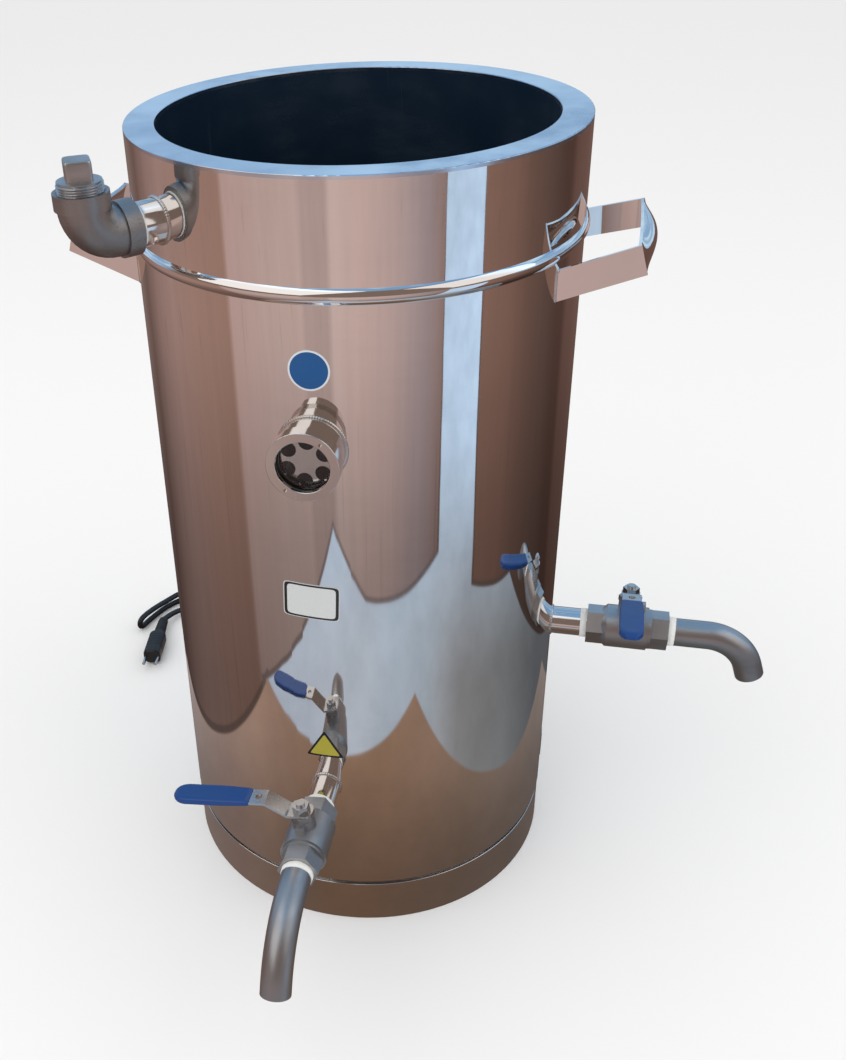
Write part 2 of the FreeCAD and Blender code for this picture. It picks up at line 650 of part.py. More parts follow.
def outlet(side, azimuth, level):
    """One welded stub with its ball valve and spout; +X of its frame is the way the liquid flows."""
    place = port(azimuth, size("valve_reach"), size(level))
    stub(side + "_stub", place)
    tapes(side, place)
    spout(side + "_spout", side, place)
    leaning = place * FreeCAD.Placement(
        Vector(), FreeCAD.Rotation(Vector(1, 0, 0), size(side + "_lean")))
    valve_body(side + "_valve_body", leaning)
    valve_end(side + "_valve_end", leaning)
    ball(side + "_ball", leaning)
    seats(side + "_seats", leaning)
    stem(side + "_stem", leaning)
    ring(side + "_packing", "stem_radius + run_gap", "packing_radius", "packing_low", "packing_high",
         placement=leaning)
    gland_nut(side + "_gland_nut", leaning)
    lever(side + "_lever", leaning)
    grip(side + "_grip", leaning)
    lever_nut(side + "_lever_nut", leaning)


# ---------------------------------------------------------------- filling port

def fill_port():
    """The jacket's filling pipe, cast elbow and square-headed plug; +X of its frame points outwards."""
    place = port(size("fill_azimuth"), size("shell_radius"), size("fill_level"))
    ring("fill_pipe", "fill_pipe_bore", "fill_pipe_radius", "-fill_pipe_inside", "fill_pipe_outside",
         "H_Axis", place)
    ring("fill_tape", "fill_pipe_radius", "fill_pipe_radius + tape_thickness",
         "elbow_face - fill_tape_length", "elbow_face", "H_Axis", place)
    fill_elbow(place)
    fill_plug(place)


def quarter_bend(name, radius):
    """A quarter of a torus from the level leg up into the upright leg."""
    bend = doc.addObject("Part::Torus", name)
    bind(bend, "Radius1", "elbow_bend")
    bind(bend, "Radius2", radius)
    bend.Angle3 = 90
    turn = FreeCAD.Rotation(Vector(1, 0, 0), Vector(0, 0, -1), Vector(0, 1, 0), "XZY")
    bend.Placement = FreeCAD.Placement(Vector(), turn)
    bind(bend, "Placement.Base.x", "elbow_axis - elbow_bend")
    bind(bend, "Placement.Base.z", "elbow_bend")
    return bend


def leg(name, radius, low, high, upright):
    """A cylinder along the level leg, or along the upright leg of the elbow."""
    cylinder = doc.addObject("Part::Cylinder", name)
    bind(cylinder, "Radius", radius)
    bind(cylinder, "Height", f"({high}) - ({low})")
    if upright:
        bind(cylinder, "Placement.Base.x", "elbow_axis")
        bind(cylinder, "Placement.Base.z", low)
    else:
        cylinder.Placement = FreeCAD.Placement(Vector(), FreeCAD.Rotation(Vector(0, 1, 0), 90))
        bind(cylinder, "Placement.Base.x", low)
    return cylinder


def fill_elbow(place):
    """A cast elbow with a raised band at each mouth."""
    knee = "elbow_axis - elbow_bend"
    outside = doc.addObject("Part::MultiFuse", "fill_elbow_outside")
    outside.Shapes = [
        quarter_bend("fill_elbow_bend", "elbow_radius"),
        leg("fill_elbow_level", "elbow_radius", "elbow_face", knee, False),
        leg("fill_elbow_level_band", "elbow_band_radius", "elbow_face",
            "elbow_face + elbow_band_length", False),
        leg("fill_elbow_collar", "elbow_band_radius", "elbow_collar_low", "elbow_collar_top", True),
    ]
    inside = doc.addObject("Part::MultiFuse", "fill_elbow_inside")
    inside.Shapes = [
        quarter_bend("fill_elbow_bend_bore", "elbow_bore"),
        leg("fill_elbow_level_bore", "elbow_bore", "elbow_face", knee, False),
        leg("fill_elbow_socket", "fill_pipe_radius", "elbow_face", "fill_pipe_outside", False),
        leg("fill_elbow_riser_bore", "elbow_bore", "elbow_bend", "elbow_collar_top", True),
        leg("fill_elbow_mouth", "plug_radius + plug_gap", "plug_low - 1", "elbow_collar_top + 1", True),
    ]
    elbow = doc.addObject("Part::Cut", "fill_elbow")
    elbow.Base = outside
    elbow.Tool = inside
    node("fill_elbow", elbow, place)


def fill_plug(place):
    """The plug: a short threaded body with a square head to turn it by."""
    body = new_body("fill_plug")
    axis, corner = "elbow_axis", "plug_head_side / sqrt(2)"
    turns = [f"plug_head_turn + {quarter}" for quarter in (0, 90, 180, 270)]
    extrude(body, "fill_plug_thread", "XY_Plane", disc("plug_radius", axis), "plug_thread_top - plug_low",
            offset="plug_low")

    def square(sketch):
        outline(sketch, [(f"{axis} + {corner} * cos({turn})", f"{corner} * sin({turn})") for turn in turns])

    extrude(body, "fill_plug_head", "XY_Plane", square, "plug_head_top - plug_thread_top + 1",
            offset="plug_thread_top - 1")
    soften(body, "fill_plug_corners", "2", lambda edge: edge.BoundBox.XLength < 1e-3
           and edge.BoundBox.YLength < 1e-3 and edge.BoundBox.ZMax > size("plug_head_top - 1"))
    soften(body, "fill_plug_rim", "1.5", lambda edge: edge.BoundBox.ZLength < 1e-3
           and (edge.BoundBox.ZMin > size("plug_head_top - 0.1") or (
               abs(edge.BoundBox.ZMin - size("plug_thread_top")) < 1e-3 and edge.BoundBox.XLength > 30)))
    node("fill_plug", body, place)


# ---------------------------------------------------------------- sight glass

def sight_glass():
    """A level window: welded tube, star reflector, gaskets, glass and a screwed bezel."""
    place = port(0, size("shell_radius"), size("sight_level"))
    tube = new_body("sight_tube")
    revolve(tube, "sight_tube_turned", [
        ("-sight_inside", "sight_tube_bore"), ("-sight_inside", "sight_tube_radius"),
        ("sight_tube_length", "sight_tube_radius"), ("sight_tube_length", "sight_tube_bore"),
        ("sight_ledge_front", "sight_tube_bore"), ("sight_ledge_front", "sight_ledge_bore"),
        ("sight_ledge_back", "sight_ledge_bore"), ("sight_ledge_back", "sight_tube_bore"),
    ], "H_Axis")
    node("sight_tube", tube, place)
    star = new_body("sight_reflector")
    extrude(star, "star_plate", "YZ_Plane", disc("glass_radius"), "star_thickness",
            offset="sight_ledge_front")
    for lobe in range(6):
        angle = f"star_turn + {60 * lobe}"
        extrude(star, f"star_lobe_{lobe}", "YZ_Plane", disc(
            "star_lobe_radius", f"star_lobe_circle * cos({angle})", f"star_lobe_circle * sin({angle})"),
            "star_thickness", offset="sight_ledge_front", cut=True)
    node("sight_reflector", star, place)
    glass_back = "(sight_ledge_front + star_thickness + gasket_thickness)"
    gaskets = []
    for name, low in (("back", "sight_ledge_front + star_thickness"),
                      ("front", f"{glass_back} + glass_thickness")):
        gaskets.append(new_body(f"sight_gasket_{name}"))
        high = f"{low} + gasket_thickness"
        revolve(gaskets[-1], f"sight_gasket_{name}_turned", [
            (low, "bezel_opening"), (high, "bezel_opening"), (high, "glass_radius"), (low, "glass_radius"),
        ], "H_Axis")
    group("sight_gaskets", gaskets, place)
    glass = new_body("sight_lens")
    extrude(glass, "sight_lens_disc", "YZ_Plane", disc("glass_radius"), "glass_thickness", offset=glass_back)
    node("sight_lens", glass, place)
    bezel = new_body("sight_bezel")
    lip = "sight_tube_length"
    revolve(bezel, "sight_bezel_turned", [
        ("bezel_back", "sight_tube_radius"), ("bezel_back", "bezel_radius"), ("bezel_front", "bezel_radius"),
        ("bezel_front", "bezel_opening"), (lip, "bezel_opening"), (lip, "sight_tube_radius"),
    ], "H_Axis")
    for name, sign in (("upper", ""), ("lower", "-")):
        extrude(bezel, f"spanner_hole_{name}", "YZ_Plane", disc(
            "spanner_hole_radius", f"{sign}spanner_hole_circle * cos(spanner_hole_turn)",
            f"{sign}spanner_hole_circle * sin(spanner_hole_turn)"), "3",
            offset="bezel_front - 3", cut=True)
    front = size("bezel_front")
    soften(bezel, "sight_bezel_edges", "edge_round", lambda edge: abs(edge.BoundBox.XMin - front) < 1e-3
           and edge.BoundBox.YLength > 10)
    node("sight_bezel", bezel, place)


# ---------------------------------------------------------------- handles

def handle(label, azimuth):
    """A flat strap handle with splayed arms; its middle is a half tube that opens towards the kettle."""
    strap = new_body(label + "_strap")
    wall = "shell_radius - 40"
    face = "shell_radius + handle_reach"
    half = "handle_half_width"
    for name, side in (("near", "-"), ("far", "")):

        def arm(sketch):
            outline(sketch, [
                (wall, f"{side}({half} + handle_flare)"), (face, f"{side}{half}"),
                (face, f"{side}({half} - handle_sheet)"),
                (wall, f"{side}({half} + handle_flare - handle_sheet)"),
            ])

        extrude(strap, f"{label}_{name}_arm", "XY_Plane", arm, "handle_height", both=True)
    sections = []
    for place, (along, depth, rise, bow) in enumerate((
            (f"-{half}", "0.6", "handle_height / 2", "0"),
            ("0", "grip_depth", "grip_half_height", "grip_bow"),
            (half, "0.6", "handle_height / 2", "0"))):
        sketch = new_sketch(strap, f"{label}_section_{place}", "XZ_Plane", f"-({along})")
        edge = f"{face} + {bow} - ({depth})"
        outer = f"(({rise}) ^ 2 + ({depth}) ^ 2) / (2 * ({depth}))"
        inner_edge = f"{edge} - handle_sheet"
        outline(sketch, [
            (edge, f"-({rise})", outer), (edge, rise), (inner_edge, rise, f"-({outer})"),
            (inner_edge, f"-({rise})"),
        ])
        sections.append(sketch)
    doc.recompute()
    loft = strap.newObject("PartDesign::AdditiveLoft", label + "_grip")
    loft.Profile = sections[0]
    loft.Sections = sections[1:]
    doc.recompute()
    tilt = FreeCAD.Placement(Vector(0, 0, size("handle_level")), FreeCAD.Rotation())
    hinge = Vector(size("shell_radius"), 0, 0)
    lean = FreeCAD.Rotation(Vector(0, 1, 0), -size("handle_tilt"))
    strap.Placement = tilt * FreeCAD.Placement(hinge, lean) * FreeCAD.Placement(-hinge, FreeCAD.Rotation())
    core = doc.addObject("Part::Cylinder", label + "_wall")
    bind(core, "Radius", "shell_radius")
    bind(core, "Height", "kettle_height")
    trimmed = doc.addObject("Part::Cut", label)
    trimmed.Base = strap
    trimmed.Tool = core
    turn = FreeCAD.Placement(Vector(), FreeCAD.Rotation(UP, azimuth - 90))
    node(label, trimmed, turn)


# ---------------------------------------------------------------- heater and terminal box

def terminal_box():
    """A welded collar box over the heater's head, its front edge cut to the curve of the shell."""
    body = new_body("terminal_box")
    half = "box_width / 2"
    # +Y is the back, so the box is drawn in plan
    extrude(body, "box_block", "XY_Plane", rectangle(f"-{half}", "box_front", half, "box_back"),
            "box_high - box_low", offset="box_low")
    soften(body, "box_corners", "6", lambda edge: edge.BoundBox.ZLength > 50
           and edge.BoundBox.YMin > size("box_back - 1"))
    extrude(body, "box_inside", "XY_Plane", rectangle(
        f"-{half} + box_wall", "box_front", f"{half} - box_wall", "box_back"),
        "box_high - box_low - 2 * box_wall", offset="box_low + box_wall", cut=True)
    extrude(body, "box_saddle", "XY_Plane", disc("shell_radius"), "box_high - box_low", offset="box_low",
            cut=True)
    extrude(body, "box_gland_hole", "XY_Plane", disc("gland_radius - 2", "gland_x", "gland_y"),
            "box_wall", offset="box_low", cut=True)
    node("terminal_box", body)


def cover_screw_spots():
    """The four corners where the cover's screws stand."""
    across = "box_width / 2 - screw_inset"
    return [(f"{side}({across})", level) for side in ("", "-")
            for level in ("box_low + screw_inset", "box_high - screw_inset")]


def terminal_cover():
    body = new_body("terminal_cover")
    half = "box_width / 2"
    # the XZ plane's normal is -Y, so distances to the back are negative offsets
    extrude(body, "cover_plate", "XZ_Plane", rectangle(f"-{half}", "box_low", half, "box_high"),
            "cover_thickness", offset="-box_back", back=True)
    soften(body, "cover_corners", "6", lambda edge: edge.BoundBox.XLength < 1e-3
           and edge.BoundBox.ZLength < 1e-3)
    extrude(body, "cover_spindle_hole", "XZ_Plane",
            disc("spindle_radius + 1", "thermostat_x", "thermostat_level"), "cover_thickness",
            offset="-box_back - cover_thickness", cut=True)
    extrude(body, "cover_lamp_hole", "XZ_Plane", disc("lamp_radius", "lamp_x", "lamp_level"),
            "cover_thickness", offset="-box_back - cover_thickness", cut=True)
    for place, (across, level) in enumerate(cover_screw_spots()):
        extrude(body, f"cover_screw_hole_{place}", "XZ_Plane", disc("screw_radius", across, level),
                "cover_thickness", offset="-box_back - cover_thickness", cut=True)
    node("terminal_cover", body)


def back_plug(label, steps, across="0", level="0"):
    """Discs standing on each other along +Y: each step is (radius, near, far)."""
    body = new_body(label)
    for place, (radius, near, far) in enumerate(steps):
        extrude(body, f"{label}_step_{place}", "XZ_Plane", disc(radius, across, level),
                f"({far}) - ({near})", offset=f"-({near})", back=True)
    return body


def cover_screws():
    screws = []
    for place, (across, level) in enumerate(cover_screw_spots()):
        screws.append(back_plug(f"cover_screw_{place}", [
            ("screw_radius", "box_back", "box_back + cover_thickness + 1"),
            ("screw_head_radius", "box_back + cover_thickness", "box_back + cover_thickness + 2.5"),
        ], across, level))
    group("cover_screws", screws)


def heater():
    """A screwed immersion heater: welded boss, hexagonal head and two hairpin elements."""
    boss = new_body("heater_boss")
    near, far = "shell_radius - boss_inside", "shell_radius + boss_length"
    extrude(boss, "boss_ring", "XZ_Plane", disc("boss_radius", "0", "heater_level"),
            "boss_inside + boss_length", offset=f"-({near})", back=True)
    extrude(boss, "boss_bore", "XZ_Plane", disc("boss_bore", "0", "heater_level"),
            "boss_inside + boss_length", offset=f"-({far})", cut=True)
    node("heater_boss", boss)
    head = new_body("heater_head")
    extrude(head, "head_hex", "XZ_Plane", hexagon("heater_head_flats"), "heater_head_length",
            offset=f"-({far})", back=True)
    extrude(head, "head_thread", "XZ_Plane", disc("boss_bore - thread_clearance"),
            "boss_inside + boss_length", offset=f"-({far})")
    spots = [(f"{side}element_half_width", f"{rise}element_half_rise") for side in ("", "-")
             for rise in ("", "-")]
    for place, (across, up) in enumerate(spots):
        extrude(head, f"head_hole_{place}", "XZ_Plane", disc("element_radius", across, up),
                "boss_inside + boss_length + heater_head_length",
                offset=f"-({far} + heater_head_length)", cut=True)
    node("heater_head", head, FreeCAD.Placement(Vector(0, 0, size("heater_level")), FreeCAD.Rotation()))
    pins = []
    for place, rise in enumerate(("element_half_rise", "-element_half_rise")):
        pins.append(hairpin(f"heater_hairpin_{place}", f"heater_level + {rise}"))
    group("heater_elements", pins)


def hairpin(label, level):
    """One U-bent heating rod lying level, its legs ending behind the heater's head."""
    body = new_body(label)
    half = "element_half_width"
    back = "shell_radius + boss_length + heater_head_length + element_tail"
    path = new_sketch(body, label + "_path", "XY_Plane", level)
    width, tail, tip = size(half), size(back), size("element_tip")
    left = path.addGeometry(Part.LineSegment(Vector(-width, tail, 0), Vector(-width, tip, 0)))
    turn = path.addGeometry(
        Part.Arc(Vector(-width, tip, 0), Vector(0, tip - width, 0), Vector(width, tip, 0)))
    right = path.addGeometry(Part.LineSegment(Vector(width, tip, 0), Vector(width, tail, 0)))
    path.addConstraint(Sketcher.Constraint("Tangent", left, 2, turn, 1))
    path.addConstraint(Sketcher.Constraint("Tangent", turn, 2, right, 1))
    tie_point(path, left, 1, f"-{half}", back)
    tie_point(path, left, 2, f"-{half}", "element_tip")
    tie_point(path, right, 2, half, back)
    section = new_sketch(body, label + "_section", "XZ_Plane", f"-({back})")
    circle(section, f"-{half}", level, "element_radius")
    doc.recompute()
    pipe = body.newObject("PartDesign::AdditivePipe", label + "_rod")
    pipe.Profile = section
    pipe.Spine = (path, ["Edge1", "Edge2", "Edge3"])
    doc.recompute()
    return body


def thermostat():
    """Sensor pocket in the jacket, control body behind the cover, knob outside it and a pilot lamp."""
    well = back_plug("sensor_pocket", [
        ("well_radius", "shell_radius - well_length", "shell_radius + well_tail")], "well_x", "well_level")
    extrude(well, "pocket_bore", "XZ_Plane", disc("well_bore", "well_x", "well_level"),
            "well_length + well_tail - 2", offset="-(shell_radius + well_tail)", cut=True)
    node("sensor_pocket", well)
    control = new_body("thermostat_body")
    half = "thermostat_side / 2"
    extrude(control, "control_block", "XZ_Plane", rectangle(
        f"thermostat_x - {half}", f"thermostat_level - {half}", f"thermostat_x + {half}",
        f"thermostat_level + {half}"), "thermostat_depth", offset="-box_back")
    extrude(control, "control_spindle_hole", "XZ_Plane",
            disc("spindle_radius + run_gap", "thermostat_x", "thermostat_level"), "12",
            offset="-box_back", cut=True)
    node("thermostat_body", control)
    gap = "box_back + cover_thickness + 0.5"
    knob = back_plug("thermostat_knob", [
        ("spindle_radius", "box_back - 11", f"{gap} + 1"),
        ("knob_radius", gap, f"{gap} + 4"),
        ("knob_radius * 0.8", f"{gap} + 4", f"{gap} + knob_height"),
    ])
    extrude(knob, "knob_pointer", "XZ_Plane", rectangle("-1.5", "0", "1.5", "knob_radius * 0.95"),
            "knob_height - 3", offset=f"-({gap} + 4)", back=True)
    place = Vector(size("thermostat_x"), 0, size("thermostat_level"))
    node("thermostat_knob", knob, FreeCAD.Placement(place, FreeCAD.Rotation()))
    lamp = back_plug("pilot_lamp", [
        ("lamp_radius", "box_back - 16", "box_back + cover_thickness"),
        ("lamp_radius + 2", "box_back + cover_thickness", "box_back + cover_thickness + 3"),
    ], "lamp_x", "lamp_level")
    node("pilot_lamp", lamp)


def rating_plate():
    """A thin metal plate that follows the shell low on its right-hand side."""
    body = new_body("rating_plate")
    revolve(body, "plate_turned", [
        ("shell_radius", "plate_low"), ("shell_radius + plate_thickness", "plate_low"),
        ("shell_radius + plate_thickness", "plate_high"), ("shell_radius", "plate_high"),
    ], sweep="plate_sweep")
    node("rating_plate", body, FreeCAD.Placement(Vector(), FreeCAD.Rotation(UP, size("plate_azimuth") - 90)))


# ---------------------------------------------------------------- mains lead

# the lead from the gland under the box down to the coil behind the kettle
LEAD_ROUTE = [
    (-30, 268, 70), (-31, 270, 45), (-35, 279, 22), (-46, 301, 7), (-60, 333, 4.6), (-76, 371, 4.5),
    (-93, 410, 4.5),
]
# the loose end: from the coil out to the left, folded back on itself, round and into the plug
PLUG_ROUTE = [
    (-153, 466, 13.7), (-191, 461, 10.8), (-235, 444, 6.8), (-290, 433, 4.5), (-345, 437, 4.5),
    (-396, 424, 4.6), (-432, 386, 4.5), (-450, 340, 4.5), (-458, 306, 4.7), (-456, 304, 25),
    (-447, 338, 23), (-434, 372, 19), (-412, 408, 20), (-372, 439, 17), (-314, 441, 15),
    (-293, 405, 10), (-314, 369, 7), (-355, 371, 6), (-386, 378, 7.5), (-413, 359, 11), (-421, 326, 15),
]
# which way the plug points as it lies on the floor
PLUG_HEADING = Vector(18, -125, 0)


def mains_lead():
    cord_tube("mains_lead", LEAD_ROUTE)
    cord_tube("plug_lead", PLUG_ROUTE)
    coil = ring("lead_coil", "coil_mid_radius - coil_half_width", "coil_mid_radius + coil_half_width",
                "0", "coil_height",
                placement=FreeCAD.Placement(Vector(size("coil_x"), size("coil_y"), 0), FreeCAD.Rotation()))
    soften(coil, "lead_coil_round", "cord_radius - 0.2", lambda edge: edge.BoundBox.ZLength < 1e-3)


def cable_gland():
    """The gland under the box: a hexagon against the box and a dome round the lead."""
    body = new_body("cable_gland")
    extrude(body, "gland_hexagon", "XY_Plane", hexagon("gland_radius * 2.2"), "8",
            offset="box_low", back=True)
    extrude(body, "gland_dome", "XY_Plane", disc("gland_radius"), "gland_length",
            offset="box_low", back=True)
    extrude(body, "gland_thread", "XY_Plane", disc("gland_radius - 2"), "box_wall + 6", offset="box_low")
    extrude(body, "gland_bore", "XY_Plane", disc("cord_radius"), "gland_length + box_wall + 6",
            offset="box_low - gland_length", cut=True)
    under_box = Vector(size("gland_x"), size("gland_y"), 0)
    node("cable_gland", body, FreeCAD.Placement(under_box, FreeCAD.Rotation()))


def mains_plug():
    """A moulded plug lying on its side, its two pins away from the lead; +X of its frame is the nose."""
    tail = Vector(*PLUG_ROUTE[-1])
    azimuth = math.degrees(math.atan2(PLUG_HEADING.x, -PLUG_HEADING.y))
    place = FreeCAD.Placement(tail, FreeCAD.Rotation(UP, azimuth - 90))
    body = new_body("plug_body")
    revolve(body, "plug_turned", [
        ("0", "0"), ("0", "plug_tail_radius"), ("plug_tail_length", "plug_tail_radius + 1.5"),
        ("plug_tail_length + 9", "plug_half_width"), ("plug_body_length + 6", "plug_half_width"),
        ("plug_body_length + 9", "plug_half_width - 3"), ("plug_body_length + 9", "0"),
    ], "H_Axis")
    node("plug_body", body, place)
    pins = []
    for name, sign in (("left", "-"), ("right", "")):
        pins.append(new_body(f"plug_pin_{name}"))
        extrude(pins[-1], f"plug_pin_{name}_rod", "YZ_Plane", disc("pin_radius", f"{sign}pin_spacing / 2"),
                "pin_length", offset="plug_body_length + 9")
    group("plug_pins", pins, place)


outer_shell()
inner_pot()
top_ring()
jacket_floor()
base_skirt()
outlet("drain", 0, "drain_level")
outlet("outlet", 90, "outlet_level")
fill_port()
sight_glass()
handle("handle_right", 90)
handle("handle_left", -90)
terminal_box()
terminal_cover()
cover_screws()
heater()
thermostat()
rating_plate()
cable_gland()
mains_lead()
mains_plug()
doc.recompute()

for thing in doc.Objects:
    if any(word in state for state in thing.State for word in ("Invalid", "Error")):
        raise ValueError(f"{thing.Label} failed: {thing.State}")
os.makedirs("parts", exist_ok=True)
for stale in os.listdir("parts"):
    os.remove(os.path.join("parts", stale))
for label, thing in nodes.items():
    shape = thing.Shape
    if shape.isNull() or not shape.isValid() or not shape.Solids:
        raise ValueError(f"{label} has no valid shape")
    shape.exportStep(f"parts/{label}.step")
print(len(nodes), "nodes")
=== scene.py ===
# %% [markdown]
# A jacketed brew kettle, piece by piece
#
# The kettle stands on the origin. +Z is up, -Y is the front with the lower outlet and the sight glass,
# and +X is the side outlet. Everything is in metres. The metal parts were drawn as solids and arrive
# finished in shape, so this lesson gives them their surfaces and adds the pieces that solids do badly:
# the lead, the plug, dipped sleeves, wound tape, weld beads, a real thread and the labels.

# %% Load the solid parts
import json
import math
import bpy
import numpy as np
from mathutils import Matrix, Vector


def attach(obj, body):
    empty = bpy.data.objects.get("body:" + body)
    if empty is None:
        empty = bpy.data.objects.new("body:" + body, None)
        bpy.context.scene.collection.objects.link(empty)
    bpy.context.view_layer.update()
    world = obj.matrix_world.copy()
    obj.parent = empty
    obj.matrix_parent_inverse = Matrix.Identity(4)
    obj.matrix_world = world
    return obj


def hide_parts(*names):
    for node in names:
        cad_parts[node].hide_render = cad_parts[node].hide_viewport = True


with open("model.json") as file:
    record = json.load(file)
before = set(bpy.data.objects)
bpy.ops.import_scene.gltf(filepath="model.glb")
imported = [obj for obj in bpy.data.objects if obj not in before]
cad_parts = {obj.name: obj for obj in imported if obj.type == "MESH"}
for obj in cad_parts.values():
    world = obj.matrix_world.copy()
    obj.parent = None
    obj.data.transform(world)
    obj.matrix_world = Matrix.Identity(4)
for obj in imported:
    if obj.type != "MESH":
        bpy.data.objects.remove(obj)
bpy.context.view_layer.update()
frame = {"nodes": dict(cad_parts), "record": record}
nodes = frame["nodes"]

# %% [markdown]
# The camera
#
# A person stands in front of the kettle, a little to its right, and looks down over the rim. The camera
# follows from where the eye is, where it looks, and how far the head tips to one side. The lens shift
# moves the frame without turning the view.

# %% Place the camera
EYE = Vector((0.2679, -1.2607, 1.2211))
LOOK = Vector((-0.2194, 0.8007, -0.5574)).normalized()
TIP = -0.0497
LENS = 41.53
SHIFT = (0.1107, 0.0518)
level_right = LOOK.cross(Vector((0, 0, 1))).normalized()
level_up = level_right.cross(LOOK)
right = level_right * math.cos(TIP) + level_up * math.sin(TIP)
up = level_up * math.cos(TIP) - level_right * math.sin(TIP)
camera = bpy.data.objects.new("camera", bpy.data.cameras.new("camera"))
camera.matrix_world = Matrix.Translation(EYE) @ Matrix((right, up, -LOOK)).transposed().to_4x4()
camera.data.lens = LENS
camera.data.shift_x, camera.data.shift_y = SHIFT
bpy.context.scene.collection.objects.link(camera)
bpy.context.scene.camera = camera
print("camera", [round(c, 3) for c in camera.location], "lens", camera.data.lens)

# %% [markdown]
# Surfaces from arrays
#
# Every new piece is a sheet of points: stations along it, each a closed ring of points. One helper joins
# neighbouring rings into quads. A weld bead round a pipe bites its own tail, so its last ring joins its
# first, and any other piece is shut at both ends by a fan. A negative volume means that the rings ran
# the other way round, so the faces are turned over.

# %% A helper that makes a closed skin from rows of points
def skin(name, rows, closed=False, crease=35.0):
    """A mesh from rows[station, around] of points. Rings are closed, and fans shut it unless closed."""
    stations, around = rows.shape[:2]
    index = np.arange(stations * around).reshape(stations, around)
    this = index if closed else index[:-1]
    following = np.roll(index, -1, axis=0) if closed else index[1:]
    stepped = [np.roll(ring, -1, axis=1) for ring in (this, following)]
    quads = np.stack([this, *stepped, following], axis=-1).reshape(-1, 4)
    points = rows.reshape(-1, 3)
    fans = []
    if not closed:
        points = np.vstack([points, rows[[0, -1]].mean(axis=1)])
        first, last = index[0], index[-1]
        poles = np.full(around, stations * around)
        fans = np.vstack([
            np.stack([poles, np.roll(first, -1), first], axis=1),
            np.stack([poles + 1, last, np.roll(last, -1)], axis=1),
        ]).tolist()
    corner = points[quads]
    volume = np.einsum("ij,ij->i", corner[:, 0], np.cross(corner[:, 1], corner[:, 2])).sum()
    volume += np.einsum("ij,ij->i", corner[:, 0], np.cross(corner[:, 2], corner[:, 3])).sum()
    mesh = bpy.data.meshes.new(name)
    mesh.from_pydata(points.tolist(), [], quads.tolist() + fans)
    if volume < 0:
        mesh.flip_normals()
    mesh.shade_smooth()
    mesh.set_sharp_from_angle(angle=math.radians(crease))
    piece = bpy.data.objects.new(name, mesh)
    bpy.context.scene.collection.objects.link(piece)
    print(f"{name}: {stations} x {around} points")
    return piece


def turned(first, second, degrees):
    """A pair of coordinates turned together by an angle in their own plane."""
    angle = math.radians(degrees)
    return (first * math.cos(angle) - second * math.sin(angle),
            first * math.sin(angle) + second * math.cos(angle))


def placed(points, azimuth, reach, level, lean=0):
    """Points of a fitting's frame, +X outwards: leant about X, turned by azimuth, then moved out and up."""
    across, rise = turned(points[..., 1], points[..., 2], lean)
    x, y = turned(points[..., 0], across, azimuth - 90)
    out = math.radians(azimuth)
    return np.stack([x + reach * math.sin(out), y - reach * math.cos(out), rise + level], axis=-1)


def lumps(angle, seed, waves=9):
    """A smooth random curve round a circle: a sum of sines of rising order, fading as one over the order."""
    draw = np.random.default_rng(seed)
    order = np.arange(1, waves + 1)
    phase = draw.uniform(0, 2 * np.pi, waves)
    return (np.sin(order * angle[..., None] + phase) / order).sum(axis=-1)


def joined(name, pieces):
    """One object from several made by skin(), so that a set of equal small pieces stays together."""
    with bpy.context.temp_override(active_object=pieces[0], selected_editable_objects=pieces):
        bpy.ops.object.join()
    pieces[0].name = name
    pieces[0].data.name = name
    return pieces[0]


# %% [markdown]
# The mains lead
#
# A rubber lead of 9 mm leaves the gland under the terminal box, drops to the floor and is wound behind
# the kettle into a small coil of a little over three turns. Its loose end runs out to the left, folds
# sharply back over itself, makes a round turn and ends in the plug. A cord is best drawn as one spline
# through listed control points. The coil's turns lie beside and on each other, a diameter apart:
# two on the floor, then one inside and a last stretch outside on top of them.

# %% The lead's route
LEAD_ROUTE = np.array([
    (-0.030, 0.268, 0.070), (-0.031, 0.270, 0.045), (-0.035, 0.279, 0.022), (-0.046, 0.301, 0.007),
    (-0.060, 0.333, 0.0046), (-0.076, 0.371, 0.0045), (-0.093, 0.410, 0.0045),
])
PLUG_ROUTE = np.array([
    (-0.153, 0.466, 0.0137), (-0.191, 0.461, 0.0108), (-0.235, 0.444, 0.0068), (-0.290, 0.433, 0.0045),
    (-0.345, 0.437, 0.0045), (-0.396, 0.424, 0.0046), (-0.432, 0.386, 0.0045), (-0.450, 0.340, 0.0045),
    (-0.458, 0.306, 0.0047), (-0.456, 0.304, 0.025), (-0.447, 0.338, 0.023), (-0.434, 0.372, 0.019),
    (-0.412, 0.408, 0.020), (-0.372, 0.439, 0.017), (-0.314, 0.441, 0.015), (-0.293, 0.405, 0.010),
    (-0.314, 0.369, 0.007), (-0.355, 0.371, 0.006), (-0.386, 0.378, 0.0075), (-0.413, 0.359, 0.011),
    (-0.421, 0.326, 0.015),
])
CORD_RADIUS = 0.0045
COIL_X, COIL_Y = -0.150, 0.410
coil_angle = np.linspace(20, 1147, 51)
spread = 1 / math.cos(math.radians(coil_angle[1] - coil_angle[0]) / 2)
coil_radius = np.interp(coil_angle, [320, 380, 920, 980], [0.0545, 0.0455, 0.0455, 0.0545]) * spread
coil_height = np.interp(coil_angle, [620, 680], [0.0045, 0.0137])
coil_turns = np.stack([
    COIL_X + coil_radius * np.cos(np.radians(coil_angle)),
    COIL_Y + coil_radius * np.sin(np.radians(coil_angle)), coil_height], axis=1)
cord_points = np.vstack([LEAD_ROUTE, coil_turns, PLUG_ROUTE])

